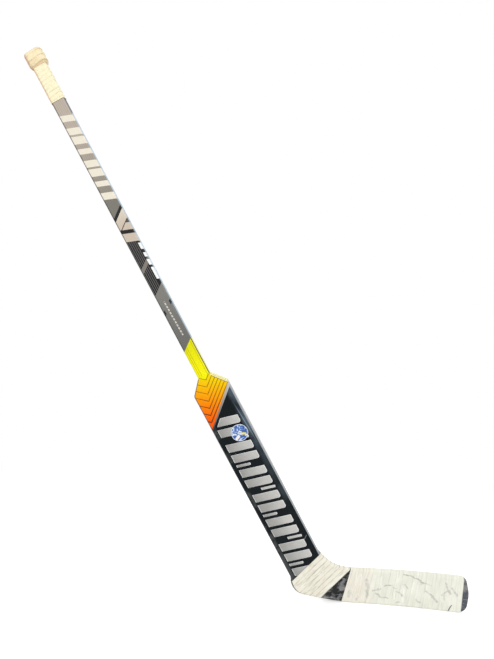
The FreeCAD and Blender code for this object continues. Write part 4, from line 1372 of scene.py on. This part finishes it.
@dataclass
class Grip:
    """Tape on the grip and on the knob, and the roll inside the knob.

    The knob's start and its bend over the end hold height and offset, from its foot and from its upper edge.
    """

    axes: ShaftFrame
    foot: float = 1309.4
    knob_foot: float = 1398.0
    top: float = 1432.0
    knob_out: float = 4.85
    knob_bevel: float = 3.84
    knob_start: Profile = ((-2.0, 0.9), (0.0, 1.5))
    knob_bend: Profile = ((-1.4, -1.2), (0.0, -3.2), (0.4, -5.2), (0.5, -14.65))
    clear: float = 0.5
    turns: int = 9
    knob_turns: int = 4
    knob_steps: int = 14
    # The grip's tape is drawn darker on its heel side: painted shade.
    cloth: ClothTape = ClothTape(
        "grip_tape_cloth", rgb(255, 249, 214), rgb(247, 235, 196), rgb(222, 203, 164), rgb(204, 183, 146),
        grime=0.3, darkened_facing=(-0.87, 0.0, -0.48), darkened_side=rgb(238, 199, 160))
    # The knob's tape is drawn darker on its heel side and tan on its first turn at the lower rim: both
    # painted shade.
    knob_cloth: ClothTape = ClothTape(
        "knob_tape_cloth", rgb(253, 239, 200), rgb(242, 222, 181), rgb(196, 164, 122), rgb(166, 134, 96),
        rgb(255, 246, 214), rgb(236, 211, 169), blush=0.15, darkened_facing=(-0.87, 0.0, -0.48),
        darkened_side=rgb(226, 190, 156))
    roll: PlainSolid = PlainSolid("knob_rubber", rgb(96, 88, 78), rgb(70, 64, 58), 240.0, 0.75)

    def build(self) -> None:
        """Winds the grip's and the knob's tape."""
        profile = ((self.foot, 0.0), (self.knob_foot - self.clear, 0.0))
        ShaftWinding(name="grip_tape_wrap", slot="grip_cloth", finish=self.cloth, turns=self.turns + 1,
                     pitch=length_of(profile) / self.turns * MM, shaft=self.axes,
                     profile=profile).build("grip_tape")
        lower, upper = self.knob_foot + self.knob_bevel, self.top - self.knob_bevel
        profile = (*((self.knob_foot + height, offset) for height, offset in self.knob_start),
                   (lower, self.knob_out), (upper, self.knob_out),
                   *((self.top + height, self.knob_out + offset) for height, offset in self.knob_bend))
        shares = tuple(step / self.knob_steps for step in range(self.knob_steps + 1))
        ShaftWinding(name="knob_tape_wrap", slot="knob_cloth", finish=self.knob_cloth, shares=shares,
                     turns=self.knob_turns + 1, pitch=length_of(profile) / self.knob_turns * MM,
                     shaft=self.axes, profile=profile).build("knob_tape")

    def dress(self) -> None:
        """Dresses the roll inside the knob."""
        dress(self.roll.material(), "knob_core")


@dataclass
class Paddle:
    """The paddle's printed skins and rails, its foil bars and the sticker.

    The rhythm holds each bar's thickness, the gap below it and where it starts and ends across the field.
    The levels hold inset and lift of a bar's rings. The finishes of a bar's face and edge are numbered.
    """

    axes: ShaftFrame
    bar_top: float = 507.0
    bar_foot: float = 66.0
    bar_left: float = -32.0
    bar_right: float = 27.0
    bar_fall: float = 0.245
    round_share: float = 0.45
    round_most: float = 6.0
    round_steps: int = 4
    border: float = 515.0
    border_slope: float = 0.99
    levels: Profile = ((0.0, -0.1), (0.0, 0.05), (1.0, 0.16))
    face_finish: int = 0
    edge_finish: int = 1
    rhythm: tuple[tuple[float, float, float, float], ...] = (
        (19.5, 8.0, 0.0, 1.0), (19.5, 6.5, 0.0, 1.0), (6.0, 7.5, 0.45, 1.0),
        (19.5, 8.0, 0.0, 1.0), (19.5, 6.5, 0.0, 1.0), (6.0, 7.5, 0.0, 0.55))

    def outline(self, top: float, thick: float, start: float, end: float) -> list[Pair]:
        """Corners of one slanted bar, its lower toe-side corner rounded.

        Args:
            top: height of its upper edge at the left side of the field.
            thick: its thickness.
            start: where it starts across the field, from 0 to 1.
            end: where it ends.

        Returns:
            Places along and across the shaft.
        """
        left, right = (self.bar_left + (self.bar_right - self.bar_left) * share for share in (start, end))
        curve = min(thick * self.round_share, self.round_most)
        corners = [(0.0, left), (thick, left)]
        for step in range(self.round_steps + 1):
            angle = math.pi / 2 * step / self.round_steps
            corners.append((thick - curve + curve * math.cos(angle), right - curve + curve * math.sin(angle)))
        corners.append((0.0, right))
        return self.below_border([(top - self.bar_fall * (across - self.bar_left) - down, across)
                                  for down, across in corners])

    def below_border(self, corners: list[Pair]) -> list[Pair]:
        """Cuts an outline along the border of the printed field.

        Args:
            corners: places along and across the shaft.

        Returns:
            The part below the border.
        """
        over = [along - self.border_slope * across - self.border for along, across in corners]
        kept = []
        for index, (near, far) in enumerate(zip(over, over[1:] + over[:1])):
            first, second = corners[index], corners[(index + 1) % len(corners)]
            if near <= 0.0:
                kept.append(first)
            if near * far < 0.0:
                share = near / (near - far)
                kept.append(tuple(low + (high - low) * share for low, high in zip(first, second)))
        return kept

    def ring(self, outline: list[Pair], level: Pair, surface: Surface, front: bool) -> list[Vector]:
        """A bar's outline drawn in, and laid on the paddle.

        Args:
            outline: places along and across the shaft.
            level: inset and lift, in millimetres.
            surface: the paddle's face.
            front: whether it lies on the striking side.

        Returns:
            The points.
        """
        inset, lift = level
        middle = [sum(values) / len(outline) for values in zip(*outline)]
        spots = []
        for corner in outline:
            keep = 1.0 - inset / math.dist(corner, middle)
            spot = self.axes.at(*(centre + (place - centre) * keep for place, centre in zip(corner, middle)))
            spot.y = surface.depth(spot, front) + toward(front).y * lift * MM
            spots.append(spot)
        return spots

    def bars(self, surface: Surface, front: bool) -> bpy.types.Mesh:
        """Foil bars laid on one side of the paddle, each with a sloped edge drawn pale as a painted
        highlight.

        Args:
            surface: the paddle's face.
            front: whether they lie on the striking side.

        Returns:
            The mesh.
        """
        points: list[Vector] = []
        faces: list[tuple[int, ...]] = []
        kinds: list[int] = []
        order = 1 if front else -1
        top, index = self.bar_top, 0
        while top > self.bar_foot:
            thick, gap, start, end = self.rhythm[index % len(self.rhythm)]
            outline = self.outline(top, thick, start, end)
            count, first = len(outline), len(points)
            for level in self.levels:
                points += self.ring(outline, level, surface, front)
            for low in range(first, len(points) - count, count):
                faces += [face[::order] for face in between_rings(low, count)]
            faces.append(tuple(range(len(points) - count, len(points)))[::order])
            kinds += [self.edge_finish] * (len(faces) - len(kinds) - 1) + [self.face_finish]
            top -= thick + gap
            index += 1
        mesh = bpy.data.meshes.new("paddle_foil_bars")
        mesh.from_pydata(points, [], faces)
        mesh.polygons.foreach_set("material_index", kinds)
        return mesh

    def build(self) -> None:
        """Lays the foil bars on both sides."""
        surface = Surface()
        # The second finish, on each bar's sloped edge, is paler: a painted highlight.
        finishes = (Foil("foil_silver", rgb(203, 202, 198), rgb(140, 139, 136), self.axes).material(),
                    Foil("foil_edge_highlight", rgb(254, 254, 252), rgb(226, 225, 222), self.axes).material())
        add_piece("paddle_foil_bars", self.bars(surface, True), "silver_edge", *finishes)
        add_piece("paddle_back_foil_bars", self.bars(surface, False), "silver_edge", *finishes)

    def dress(self) -> None:
        """Dresses the skins, the rails and the sticker."""
        dress(PaddlePrint(self.axes).material(), *PADDLE_OUTSIDE)
        low, high = (Vector(corner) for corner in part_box("round_sticker"))
        sticker = StickerPrint((low + high) / 2, (high.z - low.z) / 2 / MM, self.axes)
        dress(sticker.material(), "round_sticker")


@dataclass
class Filling:
    """Foam and stiffeners between the skins."""

    foam: PlainSolid = PlainSolid("core_foam", rgb(232, 222, 190), rgb(208, 196, 160), 900.0)
    foam_nodes: tuple[str, ...] = ("paddle_heel_core", "paddle_toe_core", "blade_heel_core",
                                   "blade_middle_core", "blade_toe_core")
    stiff: PlainSolid = PlainSolid("stiffener_laminate", rgb(58, 58, 60), rgb(38, 38, 40), 220.0)
    stiff_nodes: tuple[str, ...] = ("paddle_spar", "joint_tenon", "blade_heel_rib", "blade_toe_rib")

    def dress(self) -> None:
        """Dresses the foam blocks and the stiffeners."""
        dress(self.foam.material(), *self.foam_nodes)
        dress(self.stiff.material(), *self.stiff_nodes)


@dataclass
class Blade:
    """The blade: scuffed laminate with tape wound round its heel and along it.

    Crease strokes hold start, end, half width and strength of the tape's creases, drawn darker as painted
    shade, and of its slit; lifted holds start and end of edges that stand up, drawn paler as painted
    highlight. All are in millimetres of the front view from the foot of the shaft's line.
    """

    foot: Vector
    wrap_angle: float = 47.0
    joint: Pair = (-12.0, 60.8)
    heel_width: float = 76.0
    heel_turns: int = 7
    tape_start: float = 40.2
    tape_end: float = 310.8
    tape_turns: int = 19
    start_lean: float = 13.8
    end_lean: float = 2.6
    mid_height: float = 40.0
    # The heel's tape is drawn darker along its edge that faces the heel side.
    heel_cloth: ClothTape = ClothTape(
        "heel_tape_cloth", rgb(247, 244, 229), rgb(233, 227, 210), rgb(190, 178, 154), rgb(152, 138, 116),
        rgb(255, 254, 244), edge_strength=0.5, streaks=0.28, drift=(40.0, 210.0, 1.0), tone=0.4, crumple=1.2,
        darkened_facing=(-1.7, 0.0, -0.1))
    crease_strokes: tuple[tuple[float, ...], ...] = (
        (185.0, 80.0, 207.0, 73.5, 2.6, 0.85), (207.0, 73.5, 225.5, 62.5, 2.6, 0.85),
        (225.5, 62.5, 244.0, 58.0, 2.2, 0.6), (222.0, 57.5, 239.0, 59.0, 1.8, 0.45),
        (112.0, 31.0, 125.0, 40.5, 2.4, 0.6), (138.5, 46.5, 155.5, 49.0, 2.2, 0.7),
        (156.0, 45.5, 169.5, 42.5, 2.0, 0.5), (179.5, 55.0, 186.5, 53.0, 2.2, 0.5),
        (186.5, 53.0, 193.5, 43.5, 2.2, 0.6), (120.0, 27.0, 131.5, 19.0, 3.4, 0.6),
        (131.5, 19.0, 147.5, 16.5, 3.2, 0.65), (167.0, 36.5, 181.0, 26.5, 3.8, 0.65),
        (235.5, 42.5, 257.5, 21.0, 3.8, 0.65), (274.5, 67.0, 287.0, 43.0, 3.8, 0.62),
        (268.0, 38.0, 281.5, 49.5, 3.6, 0.55), (290.0, 59.0, 300.0, 40.5, 4.2, 0.58),
        (272.0, 35.5, 275.0, 27.5, 3.8, 0.55), (213.0, 20.0, 221.0, 16.5, 4.2, 0.5),
        (165.5, 8.0, 175.0, 10.0, 3.4, 0.55), (284.0, 0.0, 289.0, 16.5, 1.2, 2.2),
        (98.5, 57.5, 100.5, 40.5, 7.4, 0.52), (100.5, 40.5, 99.0, 17.5, 6.8, 0.48),
        (113.0, 33.0, 129.0, 38.5, 2.4, 0.65), (58.5, 26.5, 56.5, 14.5, 6.4, 0.44),
        (78.5, 16.0, 76.0, 7.0, 5.6, 0.42))
    fold_width: float = 1.4
    lifted: tuple[tuple[float, ...], ...] = (
        (132.5, 69.5, 132.5, 46.5), (168.5, 81.0, 168.0, 55.5), (164.5, 40.5, 163.0, 17.5),
        (183.5, 45.5, 181.5, 11.0), (204.0, 59.0, 201.5, 36.0), (213.0, 54.0, 211.5, 22.5),
        (266.5, 26.5, 265.0, 2.0), (74.0, 73.5, 71.5, 44.5), (85.0, 71.0, 83.5, 45.0),
        (102.5, 61.0, 106.0, 46.5))
    lifted_half: float = 2.0
    blush: float = 0.75

    def at(self, x: float, z: float) -> Vector:
        """A place of the front view, given in millimetres from the foot of the shaft's line."""
        return Vector((self.foot.x + x * MM, 0.0, self.foot.z + z * MM))

    def cloth(self) -> ClothTape:
        """The blade's cloth with its creases and lifted edges.

        Returns:
            The finish.
        """
        creases = tuple(Stroke(self.at(*mark[:2]), self.at(*mark[2:4]), mark[4] * self.fold_width * MM,
                               mark[5]) for mark in self.crease_strokes)
        ridges = tuple(Stroke(self.at(*mark[:2]), self.at(*mark[2:]), self.lifted_half * MM)
                       for mark in self.lifted)
        # Pale lap edges, ridges and crease lips are painted highlight; the darker creases are painted shade.
        return ClothTape("blade_tape_cloth", rgb(243, 243, 230), rgb(228, 228, 214), rgb(252, 251, 242),
                         rgb(194, 193, 180), rgb(255, 255, 249), edge_strength=0.5, grime=0.45, streaks=0.27,
                         drift=(18.0, 320.0, 1.0), tone=0.45, crumple=1.6, blush=self.blush, creases=creases,
                         ridges=ridges)

    def build(self) -> None:
        """Winds the heel's and the blade's tape."""
        surface = Surface()
        wrap = math.radians(self.wrap_angle)
        heading = Vector((math.sin(wrap), 0.0, -math.cos(wrap)))
        lean, reach = 90.0 - self.wrap_angle, self.heel_width * MM
        BladeWinding(name="heel_tape_wrap", slot="heel_cloth", finish=self.heel_cloth, turns=self.heel_turns,
                     pitch=reach / self.heel_turns, surface=surface, heading=heading, lean=lean,
                     end_lean=lean, origin=self.at(*self.joint) - heading * (reach / 2),
                     reach=reach).build("heel_tape")
        reach = (self.tape_end - self.tape_start) * MM
        BladeWinding(name="blade_tape_wrap", slot="blade_cloth", finish=self.cloth(), turns=self.tape_turns,
                     pitch=reach / self.tape_turns, surface=surface, heading=TOEWARD, lean=self.start_lean,
                     end_lean=self.end_lean, origin=self.at(self.tape_start, 0.0), rise=self.mid_height * MM,
                     reach=reach).build("blade_tape")

    def dress(self) -> None:
        """Dresses the blade's skins and edge."""
        dress(ScuffedLaminate("bare_laminate").material(), *BLADE_OUTSIDE)


@dataclass
class Studio:
    """A white floor, soft lights and the camera."""

    target: Color = (-387.8, 9.4, 640.8)
    yaw: float = 1.92
    pitch: float = 4.49
    roll: float = 1.35
    distance: float = 1313.9
    focal_pixels: float = 570.2
    image_height: float = 659.0
    sensor: float = 36.0
    farthest: float = 50.0
    floor_size: float = 14.0
    floor_fade: Pair = (0.95, 0.35)
    floor_glow: float = 0.34
    floor_shades: tuple[Color, Color] = ((0.86, 0.86, 0.86), (0.9, 0.9, 0.9))
    paper: Grain = Grain(30.0, 2.0)
    ambient: float = 0.58
    showing_rays: tuple[str, ...] = ("Camera", "Glossy", "Transmission")
    lamp_size: float = 1.8
    lamps: tuple[tuple[str, Color, float], ...] = (
        ("key_lamp", (1.1, -2.4, 2.7), 51.0), ("fill_lamp", (-2.1, -2.4, 1.4), 18.0),
        ("back_lamp", (-0.4, 2.6, 2.2), 36.0))

    def camera(self) -> None:
        """Stands the camera where the photograph was taken from."""
        yaw, pitch, roll = (math.radians(angle) for angle in (self.yaw, self.pitch, self.roll))
        turned = Matrix.Rotation(yaw, 4, "Z") @ Matrix.Rotation(math.pi / 2 - pitch, 4, "X")
        turned = turned @ Matrix.Rotation(roll, 4, "Z")
        lens = bpy.data.cameras.new("camera")
        lens.sensor_width = self.sensor
        lens.lens = self.focal_pixels / self.image_height * self.sensor
        lens.clip_end = self.farthest
        viewer = add_object("camera", lens)
        back = Matrix.Translation((0.0, 0.0, self.distance * MM))
        viewer.matrix_world = Matrix.Translation(Vector(self.target) * MM) @ turned @ back
        bpy.context.scene.camera = viewer

    def shown(self, graph: Graph) -> Signal:
        """1 for rays that show the background: camera, glossy and transmission rays."""
        path = graph.node("LightPath", {})
        return joined(Signal(graph, path.outputs[f"Is {kind} Ray"]) for kind in self.showing_rays)

    def level(self, graph: Graph) -> Signal:
        """Strength of the surround: full where it shows, and less as light on the stick."""
        return graph.signal("MapRange", {"Value": self.shown(graph), "To Min": self.ambient})

    def world(self) -> None:
        """A white surround that lights the stick softly."""
        world = bpy.data.worlds.new("studio")
        bpy.context.scene.world = world
        world.use_nodes = True
        graph = Graph(world.node_tree)
        background = next(node for node in graph.tree.nodes if node.type == "BACKGROUND")
        graph.plug(background.inputs["Color"], WHITE)
        graph.plug(background.inputs["Strength"], self.level(graph))

    def floor(self) -> None:
        """A white floor that keeps the stick's shadow and fades into the surround."""
        half = self.floor_size / 2
        mesh = bpy.data.meshes.new("floor")
        corners = [(-half, -half, 0.0), (half, -half, 0.0), (half, half, 0.0), (-half, half, 0.0)]
        mesh.from_pydata(corners, [], [(0, 1, 2, 3)])
        paint = Paint("floor_paper")
        paint.set(Base_Color=paint.mix(paint.noise(self.paper), *self.floor_shades), Roughness=1.0,
                  Specular_IOR_Level=0.0, Emission_Color=WHITE,
                  Emission_Strength=self.shown(paint) * self.floor_glow)
        away = paint.vector("DISTANCE", paint.position, (self.target[0] * MM, 0.0, 0.0), output="Value")
        far = paint.signal("Emission", {"Strength": self.level(paint)})
        blend = paint.signal("MixShader", {0: away.past(*self.floor_fade), 1: paint.surface, 2: far})
        paint.plug(paint.output.inputs["Surface"], blend)
        mesh.materials.append(paint.material)
        add_object("floor", mesh)

    def lamp(self, name: str, place: Color, power: float) -> None:
        """A soft square lamp aimed at the middle of the stick.

        Args:
            name: name of the lamp.
            place: where it stands, in metres.
            power: its power in watts.
        """
        light = bpy.data.lights.new(name, "AREA")
        light.size = self.lamp_size
        light.energy = power
        lamp = add_object(name, light)
        aim = Vector(self.target) * MM - Vector(place)
        lamp.matrix_world = Matrix.Translation(place) @ aim.to_track_quat("-Z", "Y").to_matrix().to_4x4()

    def build(self) -> None:
        """Sets up camera, world, floor and lamps."""
        self.camera()
        self.world()
        self.floor()
        for name, place, power in self.lamps:
            self.lamp(name, place, power)
        bpy.context.scene.view_settings.view_transform = "Standard"


def main() -> None:
    """Builds and dresses the stick, piece by piece."""
    logging.basicConfig(level=logging.INFO, format="%(name)s: %(message)s")
    axes = ShaftFrame.from_record(frame["record"])
    Shaft(axes).dress()
    for part in (Grip(axes), Paddle(axes), Blade(axes.foot)):
        part.build()
        part.dress()
    Filling().dress()
    Studio().build()


if __name__ == "__main__":
    main()
